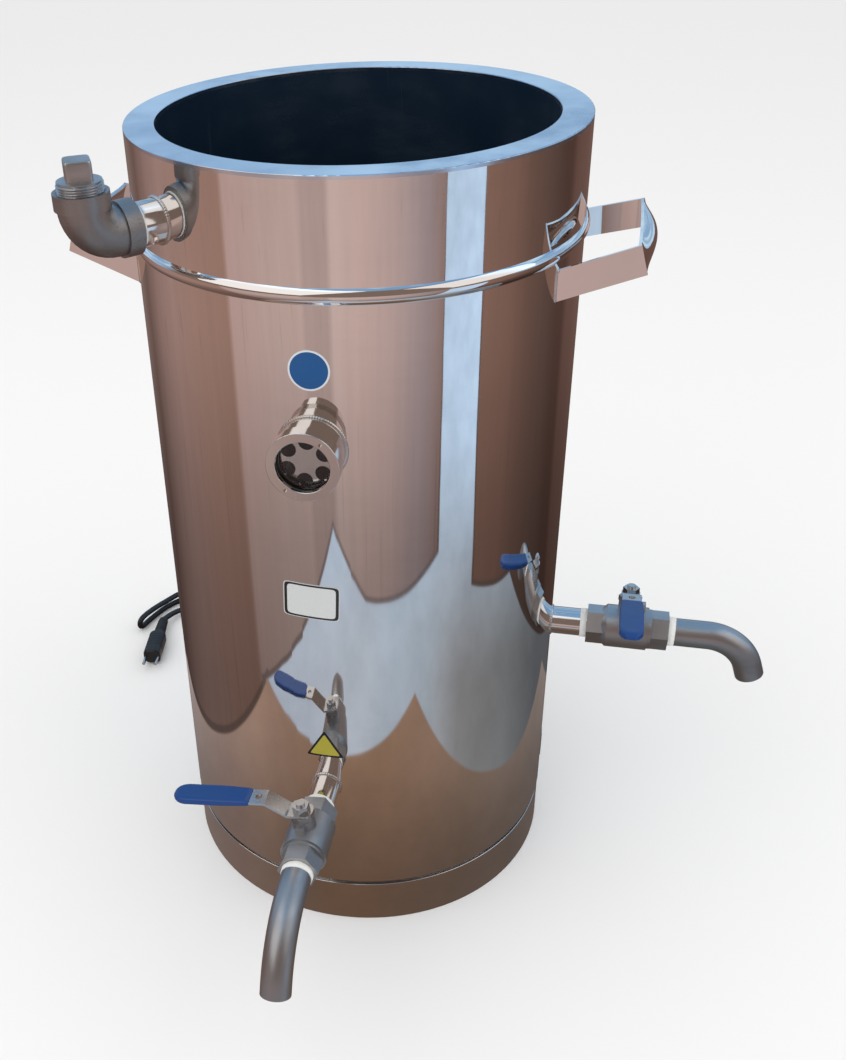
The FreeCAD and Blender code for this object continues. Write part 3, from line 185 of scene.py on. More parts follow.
# %% The lead as one spline
cord_curve = bpy.data.curves.new("mains_cord", "CURVE")
cord_curve.dimensions = "3D"
cord_curve.bevel_depth = CORD_RADIUS
cord_curve.bevel_resolution = 5
cord_curve.resolution_u = 10
cord_curve.use_fill_caps = True
spline = cord_curve.splines.new("NURBS")
spline.points.add(len(cord_points) - 1)
spline.points.foreach_set("co", np.hstack([cord_points, np.ones((len(cord_points), 1))]).ravel())
spline.order_u = 3
spline.use_endpoint_u = True
cord = bpy.data.objects.new("mains_cord", cord_curve)
bpy.context.scene.collection.objects.link(cord)

# %% [markdown]
# The plug and the gland
#
# Both are moulded rubber. Seen along its axis each is a rounded section whose size changes from station
# to station, so a profile does it: distance along the axis, half-width, and how square the section is.
# The ribs of the bend relief are a wave added to the profile. They taper towards the cord.

# %% A helper for rounded sections along an axis
def section(half, squareness, around=64):
    """Rings with radius half / (|cos|^n + |sin|^n)^(1/n): n = 2 is a circle, a higher n is squarer."""
    angle = np.linspace(0, 2 * np.pi, around, endpoint=False)
    half, squareness = np.atleast_1d(half)[:, None], np.atleast_1d(squareness)[:, None]
    reach = (np.abs(np.cos(angle)) ** squareness + np.abs(np.sin(angle)) ** squareness) ** (-1 / squareness)
    return half * reach * np.cos(angle), half * reach * np.sin(angle)


def smooth(value, low, high):
    """0 below low, 1 above high, and an even S-curve between them."""
    t = np.clip((value - low) / (high - low), 0, 1)
    return t * t * (3 - 2 * t)


# %% The plug
along = np.linspace(0, 0.106, 150)
relief = 0.0072 + 0.0018 * along / 0.042
ribs = 0.0006 * np.clip(2.2 * np.sin(2 * np.pi * along / 0.0055), -1, 1)
relief += ribs * (smooth(along, 0.003, 0.006) - smooth(along, 0.036, 0.040))
grooves = smooth(np.sin(2 * np.pi * along / 0.0065), 0.2, 0.8)
body = 0.0138 - 0.0007 * grooves * (smooth(along, 0.058, 0.060) - smooth(along, 0.086, 0.088))
flare = smooth(along, 0.040, 0.053)
half = relief * (1 - flare) + body * flare
half -= 0.003 * smooth(along, 0.1025, 0.106) ** 2 + 0.0016 * (1 - smooth(along, 0, 0.003))
across, rise = section(half, 2 + 1.0 * flare)
nose = np.array((18, -125, 0)) / math.hypot(18, 125)
side = np.array((nose[1], -nose[0], 0))
plug_rows = (PLUG_ROUTE[-1] + along[:, None, None] * nose + across[..., None] * side
             + rise[..., None] * np.array((0, 0, 1)))
plug = skin("moulded_plug", plug_rows)

# %% The gland under the terminal box
GLAND_X, GLAND_Y = LEAD_ROUTE[0, :2]
GLAND_ROUND = 72
drop = np.array([0.098, 0.092, 0.092, 0.0915, 0.0845, 0.084, 0.084, 0.079, 0.0765, 0.0745,
                 0.0725, 0.0725, 0.0710, 0.0690, 0.0690, 0.0675, 0.0655, 0.0655, 0.0640, 0.0622, 0.0620])
girth = np.array([0.0080, 0.0080, 0.0112, 0.0118, 0.0118, 0.0112, 0.0100, 0.0100, 0.0094, 0.0082,
                  0.0074, 0.0068, 0.0068, 0.0071, 0.0063, 0.0063, 0.0065, 0.0058, 0.0058, 0.0058, 0.0050])
hexagonal = np.isin(np.arange(len(drop)), (2, 3, 4, 5))[:, None]
turn = np.linspace(0, 2 * np.pi, GLAND_ROUND, endpoint=False)
facet = np.cos(np.pi / 6) / np.cos((turn + np.pi / 6) % (np.pi / 3) - np.pi / 6)
reach = girth[:, None] * np.where(hexagonal, facet * 1.06, 1.0)
gland_rows = np.stack([
    GLAND_X + reach * np.cos(turn), GLAND_Y + reach * np.sin(turn),
    np.repeat(drop[:, None], GLAND_ROUND, axis=1)], axis=-1)
gland = skin("tapered_gland", gland_rows)

# %% [markdown]
# Dipped sleeves on the levers
#
# The lever of a ball valve is a bare strip whose outer half is dipped in soft vinyl. The skin is
# thickest at the round tip, thins towards the lever and sinks a little along the middle of each flat
# side, where the hot vinyl shrank. The section is a flat rounded box whose width and thickness change
# along the lever.

# %% Both lever sleeves
LEVER_MIDDLE = 0.0613
OUTLETS = {"drain": (0, 0.326, 0.226, 7), "outlet": (90, 0.326, 0.330, -8)}


def sleeve(name, place):
    """Width and thickness close at the tip as the root of 1 - t^3, and the section has squareness 5."""
    t = np.linspace(0, 1, 72)[:, None] ** 0.8
    far = np.clip((t - 0.80) / 0.20, 0, 1)
    mouth = 1 - np.clip(t / 0.03, 0, 1)
    width = (0.0122 + 0.0013 * smooth(t, 0.0, 0.35)) * np.sqrt(np.clip(1 - far ** 2.2, 0.0005, 1))
    thick = (0.0036 + 0.0009 * smooth(t, 0.0, 0.5)) * np.clip(1 - far ** 5, 0.02, 1) ** 0.5
    width, thick = width - 0.0012 * mouth ** 2, thick - 0.0009 * mouth ** 2
    angle = np.linspace(0, 2 * np.pi, 96, endpoint=False)
    cosine, sine = np.cos(angle), np.sin(angle)
    x = width * np.sign(cosine) * np.abs(cosine) ** 0.4
    z = thick * np.sign(sine) * np.abs(sine) ** 0.4
    z *= 1 - 0.10 * np.exp(-(x / 0.0075) ** 4) * (1 - far)
    y = -(0.0555 + 0.0905 * t) + 0 * angle
    rows = np.stack([x, y, z + LEVER_MIDDLE], axis=-1)
    return skin(name, placed(rows, *place), crease=50)


sleeves = {side: sleeve(side + "_lever_sleeve", place) for side, place in OUTLETS.items()}

# %% [markdown]
# Wound thread tape
#
# White tape is pulled round the pipe thread and a little of it shows at each end of a valve. It is a
# ring whose edge wanders and whose thickness steps where one turn ends on another. The section runs
# round a flat box and the whole section wanders along the pipe and in height with the angle.

# %% The tape rings
def tape_ring(name, start, end, pipe, thickness, seed, place):
    """A ring about the fitting's X axis. Its edges and its outside follow lumps() of the angle."""
    turn = np.linspace(0, 2 * np.pi, 160, endpoint=False)
    wander = 0.0005 * lumps(turn, seed)
    wander_far = 0.0005 * lumps(turn, seed + 1)
    swell = thickness * (0.80 + 0.10 * lumps(turn, seed + 2) / 1.5)
    step = 0.14 * thickness * (turn / (2 * np.pi))
    across = np.array([0.0, 0.0, 0.12, 0.30, 0.36, 0.62, 0.66, 0.90, 1.0, 1.0])
    height = np.array([0.0, 0.75, 0.95, 0.97, 1.10, 1.08, 0.92, 0.88, 0.70, 0.0])
    low = (start + wander * 0.6)[:, None]
    high = (end + wander_far * 0.6)[:, None]
    x = low + (high - low) * across
    radius = pipe + 0.00002 + height * (swell + step)[:, None]
    rows = np.stack([x, radius * np.cos(turn)[:, None], radius * np.sin(turn)[:, None]], axis=-1)
    return skin(name, placed(rows, *place), closed=True, crease=60)


PIPE = 0.01685
FILL = (-42, 0.235, 0.867)
FILL_PIPE = 0.0212
TAPE = 0.0009
tapes = {
    side: joined(side + "_tape_turns", [
        tape_ring("near", -0.056, -0.048, PIPE, TAPE, seed, OUTLETS[side]),
        tape_ring("far", 0.048, 0.056, PIPE, TAPE, seed + 3, OUTLETS[side])])
    for side, seed in (("drain", 1), ("outlet", 7))}
tapes["fill"] = tape_ring("filling_tape_turns", 0.0225, 0.026, FILL_PIPE, TAPE, 13, FILL)

# %% [markdown]
# The filling plug
#
# The plug in the elbow has a pipe thread with a pitch of 2.3 mm, and a square head for a spanner. A
# thread is a profile along the axis whose height also depends on the angle: going once round moves the
# same tooth on by one pitch. Above the thread the round section turns into a square with soft corners.

# %% The plug with its thread
PITCH = 0.00231
TURNS = 96
HEAD_TURN = -20
ELBOW_REACH = 0.074
thread_z = np.linspace(0.024, 0.0515, TURNS)
head_z = np.array([
    0.0520, 0.0523, 0.0524, 0.0526, 0.0535, 0.0600, 0.0680, 0.0698, 0.0706, 0.0710, 0.0710])
head_half = np.array([
    0.0210, 0.0200, 0.0150, 0.0128, 0.0125, 0.0125, 0.0125, 0.0122, 0.0116, 0.0104, 0.006])
plug_z = np.concatenate([thread_z, head_z])
squareness = np.concatenate([np.full(TURNS, 2.0), np.array([2, 2, 4, 7, 9, 9, 9, 8, 7, 6, 4])])
across, depth = section(np.concatenate([np.full(TURNS, 1.0), head_half]), squareness, TURNS)
turn = np.linspace(0, 2 * np.pi, TURNS, endpoint=False)
tooth = np.abs(((thread_z[:, None] / PITCH - turn / (2 * np.pi)) % 1) - 0.5) * 2
crest = 0.0207 + 0.0013 * np.clip(tooth * 1.3 - 0.15, 0, 1)
crest -= 0.0012 * smooth(thread_z, 0.0495, 0.0515)[:, None]
across[:TURNS], depth[:TURNS] = across[:TURNS] * crest, depth[:TURNS] * crest
across, depth = turned(across, depth, HEAD_TURN)
plug_rows = np.stack([
    ELBOW_REACH + across, depth, np.repeat(plug_z[:, None], TURNS, axis=1)], axis=-1)
fill_plug = skin("threaded_filling_plug", placed(plug_rows, *FILL), crease=40)

# %% [markdown]
# Weld beads
#
# Every pipe goes through the polished wall and is welded round. The bead follows the saddle-shaped line
# where two cylinders meet: for a pipe of radius p, the point at angle a stands p cos a to the side and
# p sin a up, and the wall is there at the root of R^2 - (p cos a)^2 from the kettle's axis. The small
# scales left by the welding torch are a ripple in the bead's thickness.

# %% A helper that lays a bead along a closed line
WALL = 0.235


def bead(line, outward, thickness, scales, seed):
    """A round section carried along a closed line[point], with its height towards outward[point]."""
    count = len(line)
    along = np.roll(line, -1, axis=0) - np.roll(line, 1, axis=0)
    along /= np.linalg.norm(along, axis=1)[:, None]
    outward = outward - (outward * along).sum(axis=1)[:, None] * along
    outward /= np.linalg.norm(outward, axis=1)[:, None]
    sideways = np.cross(along, outward)
    place = np.linspace(0, 2 * np.pi, count, endpoint=False)
    scale = 1 + 0.14 * np.abs(np.sin(scales * place / 2)) + 0.05 * lumps(place, seed)
    ring = np.linspace(0, 2 * np.pi, 12, endpoint=False)
    size = (thickness * scale)[:, None, None]
    return line[:, None] + size * (np.cos(ring)[:, None] * outward[:, None]
                                   + np.sin(ring)[:, None] * sideways[:, None])


def saddle(pipe, azimuth, level, count=360):
    """The closed line where a level pipe meets the wall, and the direction away from the pipe's axis."""
    turn = np.linspace(0, 2 * np.pi, count, endpoint=False)
    y, z = pipe * np.cos(turn), pipe * np.sin(turn)
    line = np.stack([np.sqrt(WALL ** 2 - y ** 2), y, z], axis=-1)
    outward = np.stack([0.7 + 0 * turn, np.cos(turn), np.sin(turn)], axis=-1)
    return placed(line, azimuth, 0, level), placed(outward, azimuth, 0, 0)


# %% The beads round the pipes
def pipe_weld(name, pipe, azimuth, level, thickness, scales, seed):
    """The bead along the saddle line of one pipe."""
    line, outward = saddle(pipe, azimuth, level)
    return skin(name, bead(line, outward, thickness, scales, seed), closed=True, crease=180)


SIGHT_TUBE, SIGHT_LEVEL = 0.034, 0.668
welds = [
    pipe_weld("drain_weld", PIPE, 0, OUTLETS["drain"][2], 0.0019, 44, 21),
    pipe_weld("outlet_weld", PIPE, 90, OUTLETS["outlet"][2], 0.0019, 44, 22),
    pipe_weld("filling_weld", FILL_PIPE, FILL[0], FILL[2], 0.0021, 52, 23),
    pipe_weld("sight_weld", SIGHT_TUBE, 0, SIGHT_LEVEL, 0.0021, 84, 24),
]

# %% The beads round the handles' feet
HANDLE_LEVEL = 0.796
FOOT_ASIDE = 0.0940


def foot_weld(name, azimuth, side, seed):
    """A rounded oblong of 30 by 3 mm on the wall, where a strap's end meets it."""
    turn = np.linspace(0, 2 * np.pi, 200, endpoint=False)
    y = side * FOOT_ASIDE + 0.0021 * np.sign(np.cos(turn)) * np.abs(np.cos(turn)) ** 0.5
    z = -0.0057 + 0.0155 * np.sign(np.sin(turn)) * np.abs(np.sin(turn)) ** 0.8
    line = np.stack([np.sqrt(WALL ** 2 - y ** 2), y, z], axis=-1)
    outward = np.stack([0.6 + 0 * turn, np.cos(turn), np.sin(turn)], axis=-1)
    rows = bead(placed(line, azimuth, 0, HANDLE_LEVEL), placed(outward, azimuth, 0, 0), 0.0013, 60, seed)
    return skin(name, rows, closed=True, crease=180)


handle_welds = joined("handle_welds", [
    foot_weld(f"foot_weld_{number}", azimuth, side, 30 + number)
    for number, (azimuth, side) in enumerate([(90, 1), (90, -1), (-90, 1), (-90, -1)])])

# %% The shell's upright seam at the back
BEAD_LEVEL, BEAD_HALF, BEAD_ROUND, BEAD_SUNK = 0.822, 0.008, 0.00936, 0.00486
SEAM_AZIMUTH = 158


def wall_radius(z):
    """The wall's radius at a height: 235 mm, swelling to a round bead 16 mm high about 822 mm."""
    rise = np.clip(BEAD_ROUND ** 2 - (z - BEAD_LEVEL) ** 2, 0, None)
    return np.where(np.abs(z - BEAD_LEVEL) < BEAD_HALF, WALL + np.sqrt(rise) - BEAD_SUNK, WALL)


seam_z = np.linspace(0.0685, 0.9245, 700)
ring = np.linspace(0, 2 * np.pi, 14, endpoint=False)
ripple = 1 + 0.25 * np.abs(np.sin(np.pi * seam_z / 0.0016))
flat = 0.00035 * ripple[:, None] * np.cos(ring)
wide = 0.0019 * (1 + 0.06 * lumps(seam_z * 60, 40))[:, None] * np.sin(ring)
seam_azimuth = math.radians(SEAM_AZIMUTH) + wide / WALL
seam_reach = wall_radius(seam_z)[:, None] + flat
seam_rows = np.stack([seam_reach * np.sin(seam_azimuth), -seam_reach * np.cos(seam_azimuth),
                      np.repeat(seam_z[:, None], 14, axis=1)], axis=-1)
welds.append(skin("shell_seam", seam_rows, crease=180))

# %% [markdown]
# Labels
#
# Three stickers stand in a column on the front, and the thermostat's scale is a fourth on the cover at
# the back. A sticker is a polar sheet: rings that grow from the middle to an outline, bent round the
# wall. Its UV map says how far out a point is and at which angle, so borders follow the outline.

# %% A helper for stickers
ROUND = 240
COVER_FACE = 0.303


def sticker(name, outline, bend, hole=0.0):
    """Rings from the middle to outline(angle) and back underneath, 0.3 mm thick, placed by bend()."""
    angle = np.linspace(0, 2 * np.pi, ROUND, endpoint=False)
    share = np.concatenate([np.linspace(hole, 1, 13), np.linspace(1, hole, 7)])
    lift = np.concatenate([np.full(13, 0.0003), np.full(7, 0.00004)])
    reach = share[:, None] * outline(angle)
    rows = bend(reach * np.cos(angle), reach * np.sin(angle), lift[:, None] + 0 * angle)
    piece = skin(name, rows, closed=bool(hole), crease=60)
    layer = piece.data.uv_layers.new(name="label")
    corner = np.zeros(len(piece.data.loops), np.int32)
    piece.data.loops.foreach_get("vertex_index", corner)
    out = np.concatenate([np.repeat(share, ROUND), [share[0], share[-1]]])
    around = np.concatenate([np.tile(angle / (2 * np.pi), len(share)), [0, 0]])
    both = np.stack([out[corner], around[corner]], axis=1)
    layer.data.foreach_set("uv", both.astype(np.float32).ravel())
    return piece


def on_wall(azimuth, level, tilt=0.0):
    """Bends a flat sheet round the wall about one point of it: a step to the side is an angle there."""
    def bend(s, t, lift):
        s, t = turned(s, t, tilt)
        spot = math.radians(azimuth) + s / WALL
        return np.stack([(WALL + lift) * np.sin(spot), -(WALL + lift) * np.cos(spot), level + t], axis=-1)
    return bend


def on_cover(x, level):
    """Puts a flat sheet on the back cover, seen from behind."""
    def bend(s, t, lift):
        return np.stack([x - s, COVER_FACE + lift, level + t], axis=-1)
    return bend


# %% The four labels
def rounded_box(half_width, half_height, corner):
    """The outline of a box by angle: the nearer of its sides, softened at the corners."""
    return lambda a: ((np.abs(np.cos(a)) / half_width) ** corner
                      + (np.abs(np.sin(a)) / half_height) ** corner) ** (-1 / corner)


def rounded_triangle(a):
    """The outline of a triangle by angle: its three sides, blended by a high power so corners are round."""
    sides = [np.clip(np.cos(a - math.radians(turn)), 0.05, 1) for turn in (-90, 30, 150)]
    return 0.0128 * sum(side ** 11 for side in sides) ** (-1 / 11)


blue_disc = sticker("blue_disc_blank", lambda a: 0.0205 + 0 * a, on_wall(0.0, 0.750))
white_label = sticker("white_label_blank", rounded_box(0.031, 0.022, 12), on_wall(-2.0, 0.486, -2))
yellow_label = sticker("yellow_triangle_blank", rounded_triangle, on_wall(0.0, 0.283))
dial = sticker("thermostat_scale", lambda a: 0.0275 + 0 * a, on_cover(-0.028, 0.180), hole=0.72)

# %% [markdown]
# Effects that several finishes share
#
# An effect such as a slow wave in rolled sheet, hairline scratches or a greasy smear is built once as a
# node group. Each group takes object coordinates and gives back only a height or a mask, and every
# material decides what the mask does.

# %% Helpers for nodes
def add(tree, kind, values=None, **settings):
    """A shader node of that kind. values gives its inputs, by name or number, a constant or a socket."""
    node = tree.nodes.new("ShaderNode" + kind)
    for key, setting in settings.items():
        setattr(node, key, setting)
    for key, value in (values or {}).items():
        if isinstance(value, bpy.types.NodeSocket):
            tree.links.new(value, node.inputs[key])
        else:
            node.inputs[key].default_value = value
    return node


def group(name, inputs, result):
    """A node group with the inputs {name: default}, a Vector input and one value output named result."""
    tree = bpy.data.node_groups.new(name, "ShaderNodeTree")
    tree.interface.new_socket(name="Vector", in_out="INPUT", socket_type="NodeSocketVector")
    for label, value in inputs.items():
        socket = tree.interface.new_socket(name=label, in_out="INPUT", socket_type="NodeSocketFloat")
        socket.default_value = value
    tree.interface.new_socket(name=result, in_out="OUTPUT", socket_type="NodeSocketFloat")
    return tree, tree.nodes.new("NodeGroupInput").outputs, tree.nodes.new("NodeGroupOutput").inputs


def noise(tree, vector, scale, detail=2.0, roughness=0.5):
    """The grey value of a noise texture."""
    values = {"Vector": vector, "Scale": scale, "Detail": detail, "Roughness": roughness}
    return add(tree, "TexNoise", values).outputs["Fac"]


def remap(tree, value, low, high, start=0.0, end=1.0):
    """value between low and high becomes start to end, smoothly and with no overshoot."""
    values = {"Value": value, "From Min": low, "From Max": high, "To Min": start, "To Max": end}
    return add(tree, "MapRange", values, interpolation_type="SMOOTHSTEP").outputs["Result"]


def blend(tree, mask, plain, marked):
    """Two colours, or wires that carry colours, mixed by a mask."""
    mix = add(tree, "Mix", {"Factor": mask}, data_type="RGBA")
    for number, colour in ((6, plain), (7, marked)):
        if isinstance(colour, bpy.types.NodeSocket):
            tree.links.new(colour, mix.inputs[number])
        else:
            mix.inputs[number].default_value = (*colour, 1)
    return mix.outputs[2]


def maths(tree, operation, first, second=0.0):
    """One sum, product or other operation on two values."""
    return add(tree, "Math", {0: first, 1: second}, operation=operation).outputs[0]


def stretched(tree, vector, scale):
    """The vector with each axis scaled by its own factor, for grain that runs one way."""
    return add(tree, "Mapping", {"Vector": vector, "Scale": scale}).outputs[0]


# %% Slow waves in a rolled wall
waves, given, wanted = group("sheet_waves", {"Scale": 5.0}, "Height")
long_way = stretched(waves, given["Vector"], (1.0, 1.0, 0.35))
waves.links.new(noise(waves, long_way, given["Scale"], 1.0), wanted["Height"])

# %% Hairline scratches that run at random, in two directions
scratches, given, wanted = group("hairline_scratches", {"Amount": 0.5}, "Mask")
upright = noise(scratches, stretched(scratches, given["Vector"], (260.0, 260.0, 5.0)), 1.0, 3.0, 0.6)
level = noise(scratches, stretched(scratches, given["Vector"], (9.0, 9.0, 420.0)), 1.0, 3.0, 0.6)
lines = maths(scratches, "MAXIMUM", remap(scratches, upright, 0.60, 0.72),
              remap(scratches, level, 0.62, 0.74))
patches = remap(scratches, noise(scratches, given["Vector"], 7.0, 2.0), 0.40, 0.62)
drawn = maths(scratches, "MULTIPLY", lines, patches)
scratches.links.new(maths(scratches, "MULTIPLY", drawn, given["Amount"]), wanted["Mask"])

# %% Greasy smears and wiped marks
smears, given, wanted = group("smears", {"Amount": 0.5}, "Mask")
blotch = remap(smears, noise(smears, given["Vector"], 6.0, 3.0, 0.55), 0.42, 0.70)
wiped = noise(smears, stretched(smears, given["Vector"], (18.0, 18.0, 60.0)), 1.0, 4.0, 0.6)
streaky = maths(smears, "MULTIPLY", blotch, remap(smears, wiped, 0.30, 0.70, 0.35, 1.0))
smears.links.new(maths(smears, "MULTIPLY", streaky, given["Amount"]), wanted["Mask"])

# %% The sandy skin of a casting, with a few pits
casting, given, wanted = group("casting_skin", {"Scale": 900.0}, "Height")
sand = noise(casting, given["Vector"], given["Scale"], 3.0, 0.6)
pit_scale = maths(casting, "MULTIPLY", given["Scale"], 0.45)
cells = add(casting, "TexVoronoi", {"Vector": given["Vector"], "Scale": pit_scale}).outputs["Distance"]
pits = remap(casting, cells, 0.05, 0.30, -0.8, 0.0)
casting.links.new(maths(casting, "ADD", sand, pits), wanted["Height"])

# %% Fine grain that runs one way, as brushing or drawing leaves it
grain, given, wanted = group("drawn_grain", {"Along X": 400.0, "Along Y": 400.0, "Along Z": 8.0}, "Value")
each_way = add(grain, "CombineXYZ", {"X": given["Along X"], "Y": given["Along Y"], "Z": given["Along Z"]})
ran = add(grain, "VectorMath", {0: given["Vector"], 1: each_way.outputs[0]}, operation="MULTIPLY")
grain.links.new(noise(grain, ran.outputs[0], 1.0, 4.0, 0.65), wanted["Value"])

# %% Dust that settles on upward faces
dust, given, wanted = group("settled_dust", {"Amount": 0.3}, "Mask")
facing = add(dust, "SeparateXYZ", {0: add(dust, "NewGeometry").outputs["Normal"]}).outputs["Z"]
lying = remap(dust, facing, 0.45, 0.95)
specks = remap(dust, noise(dust, given["Vector"], 700.0, 2.0), 0.45, 0.75, 0.25, 1.0)
fallen = maths(dust, "MULTIPLY", lying, specks)
dust.links.new(maths(dust, "MULTIPLY", fallen, given["Amount"]), wanted["Mask"])
print("shared effects:", [g.name for g in bpy.data.node_groups])


# %% [markdown]
# Finishes
#
# Nearly all of the kettle is stainless steel, and its finishes differ in how rough they are and in which
# way: a mirror polish on the wall, a satin ring, a drawn pipe, a bead-blasted casting, a turned bezel.
# One helper starts a material and gives its shader, its coordinates and a way to place a shared effect.
# Then each finish is a few lines: two tones mixed by a mask, a roughness that the masks raise, a bump.
# Two kinds come back several times, castings and soiled surfaces, so each has a function.

# %% A helper that starts a material
class Finish:
    """A material with a Principled shader, object coordinates, and shared effects placed with effect()."""

    def __init__(self, name, **sockets):
        self.material = bpy.data.materials.new(name)
        self.material.use_nodes = True
        self.tree = self.material.node_tree
        self.shader = self.tree.nodes["Principled BSDF"]
        self.where = add(self.tree, "TexCoord").outputs["Object"]
        for key, value in sockets.items():
            self.shader.inputs[key.replace("_", " ").title().replace("Ior", "IOR")].default_value = value

    def effect(self, name, **inputs):
        """The output of a shared effect with this material's own values."""
        node = self.tree.nodes.new("ShaderNodeGroup")
        node.node_tree = bpy.data.node_groups[name]
        self.tree.links.new(self.where, node.inputs["Vector"])
        for key, value in inputs.items():
            node.inputs[key.replace("_", " ").title()].default_value = value
        return node.outputs[0]

    def colour(self, mask, plain, marked):
        """Base Color between two tones."""
        mixed = blend(self.tree, mask, plain, marked)
        self.tree.links.new(mixed, self.shader.inputs["Base Color"])
        return mixed

    def rough(self, mask, low, high):
        """Roughness between two values."""
        self.tree.links.new(remap(self.tree, mask, 0.0, 1.0, low, high), self.shader.inputs["Roughness"])

    def bump(self, height, distance):
        """A relief of that many metres from low to high."""
        relief = add(self.tree, "Bump", {"Height": height, "Distance": distance, "Strength": 1.0})
        self.tree.links.new(relief.outputs[0], self.shader.inputs["Normal"])

    def sum(self, first, second):
        """Two masks added."""
        return maths(self.tree, "ADD", first, second)

    def times(self, value, factor):
        """A mask made weaker or stronger."""
        return maths(self.tree, "MULTIPLY", value, factor)

    def even_grain(self, scale):
        """The drawn grain with the same scale along every axis, which makes it a fine even fleck."""
        return self.effect("drawn_grain", along_x=scale, along_y=scale, along_z=scale)


def casting_finish(name, scale, plain, marked, low, high, depth):
    """Bead-blasted cast steel: the sand's relief dulls it and smears darken it."""
    made = Finish(name, metallic=1.0)
    smear = made.effect("smears", amount=0.9)
    sand = made.effect("casting_skin", scale=scale)
    made.colour(smear, plain, marked)
    made.rough(made.sum(made.times(sand, 0.5), smear), low, high)
    made.bump(sand, depth)
    return made


def soiled_finish(name, soil, plain, marked, low, high, scale, depth, dusty=0.0, **sockets):
    """A moulded or heat-marked surface: smears, and dust if it has any, change its tone and dull it."""
    made = Finish(name, **sockets)
    grime = made.effect("smears", amount=soil)
    if dusty:
        grime = made.sum(grime, made.effect("settled_dust", amount=dusty))
    made.colour(grime, plain, marked)
    made.rough(grime, low, high)
    made.bump(made.effect("casting_skin", scale=scale), depth)
    return made


# %% Mirror-polished wall, skirt and handles
wall = Finish("polished_wall", metallic=1.0)
smear = wall.effect("smears", amount=0.55)
marks = wall.sum(wall.times(smear, 0.6), wall.effect("hairline_scratches", amount=0.5))
wall.colour(smear, (0.90, 0.88, 0.86), (0.80, 0.78, 0.76))
wall.rough(marks, 0.035, 0.13)
wall.bump(wall.effect("sheet_waves", scale=4.0), 0.0005)

# %% Satin top ring and the inside of the pot
ring = Finish("satin_ring", metallic=1.0)
brushed = ring.even_grain(30.0)
smear = ring.effect("smears", amount=0.9)
# Painted reflection: the ring's base colour is a painted sky, pale blue, that turns a darker blue where the
# smear mask lies, as painted patches of sky and cloud. In the roughness the same mask is a real smear.
ring.colour(smear, (0.78, 0.86, 0.94), (0.42, 0.52, 0.64))
ring.rough(ring.sum(ring.times(brushed, 0.5), smear), 0.10, 0.28)
ring.bump(brushed, 0.00002)

pot = Finish("pot_inside", metallic=0.70)
ran = pot.effect("drawn_grain", along_x=60.0, along_y=60.0, along_z=1.5)
smear = pot.effect("smears", amount=0.25)
# Painted shade and painted highlights: the base colour is a dark navy for steel that lies in shade, and the
# smear mask and the upright runs lighten it in painted streaks of reflection. In the roughness the smear mask
# is a real smear.
runs = pot.times(remap(pot.tree, ran, 0.60, 0.72), 0.35)
pot.colour(pot.sum(smear, runs), (0.022, 0.050, 0.095), (0.20, 0.26, 0.32))
pot.rough(pot.sum(pot.times(ran, 0.4), smear), 0.10, 0.30)
pot.bump(pot.effect("sheet_waves", scale=4.0), 0.0010)

# %% Bright turned steel, drawn pipe, castings and pressed levers
lathed = Finish("turned_steel", metallic=1.0)
smear = lathed.effect("smears", amount=0.5)
lathed.colour(smear, (0.82, 0.80, 0.78), (0.66, 0.64, 0.62))
marks = lathed.sum(lathed.times(smear, 0.7), lathed.effect("hairline_scratches", amount=0.8))
lathed.rough(marks, 0.09, 0.28)
lathed.bump(lathed.even_grain(90.0), 0.00002)

pipe = Finish("satin_pipe", metallic=1.0)
smear = pipe.effect("smears", amount=0.9)
pipe.colour(smear, (0.46, 0.47, 0.48), (0.30, 0.31, 0.32))
pipe.rough(pipe.sum(pipe.times(pipe.even_grain(500.0), 0.6), smear), 0.30, 0.52)
pipe.bump(pipe.effect("casting_skin", scale=1400.0), 0.00003)

cast = casting_finish(
    "cast_steel", 800.0, (0.50, 0.50, 0.50), (0.30, 0.30, 0.30), 0.30, 0.52, 0.00010)
dark_cast = casting_finish(
    "dark_casting", 700.0, (0.36, 0.36, 0.36), (0.22, 0.22, 0.22), 0.36, 0.56, 0.00016)

pressed = Finish("pressed_steel", metallic=1.0)
smear = pressed.effect("smears", amount=0.7)
pressed.colour(smear, (0.62, 0.61, 0.60), (0.45, 0.44, 0.43))
pressed.rough(pressed.sum(smear, pressed.effect("hairline_scratches", amount=1.0)), 0.18, 0.40)
pressed.bump(pressed.effect("casting_skin", scale=1600.0), 0.00002)

sheet = Finish("rolled_sheet", metallic=1.0)
brushed = sheet.effect("drawn_grain", along_x=500.0, along_y=500.0, along_z=9.0)
smear = sheet.effect("smears", amount=0.6)
sheet.colour(smear, (0.60, 0.60, 0.60), (0.46, 0.46, 0.46))
sheet.rough(sheet.sum(sheet.times(brushed, 0.5), smear), 0.22, 0.45)
sheet.bump(brushed, 0.00002)

weld_bead = soiled_finish(
    "weld_bead", 1.0, (0.74, 0.72, 0.70), (0.48, 0.42, 0.35), 0.16, 0.36, 1200.0, 0.00004, metallic=1.0)

# %% Vinyl, tape, rubber, plastic and the lamp
vinyl = Finish("blue_vinyl", coat_weight=0.10, coat_roughness=0.25, ior=1.46)
grime = vinyl.effect("smears", amount=0.8)
vinyl.colour(grime, (0.004, 0.045, 0.200), (0.012, 0.055, 0.170))
vinyl.rough(vinyl.sum(grime, vinyl.effect("settled_dust", amount=0.3)), 0.28, 0.50)
vinyl.bump(vinyl.even_grain(160.0), 0.00012)

tape = Finish("thread_tape", sheen_weight=0.3, ior=1.38)
wrinkle = tape.effect("drawn_grain", along_x=500.0, along_y=500.0, along_z=300.0)
tape.colour(wrinkle, (0.62, 0.62, 0.60), (0.90, 0.90, 0.88))
tape.rough(wrinkle, 0.45, 0.70)
tape.bump(wrinkle, 0.00025)

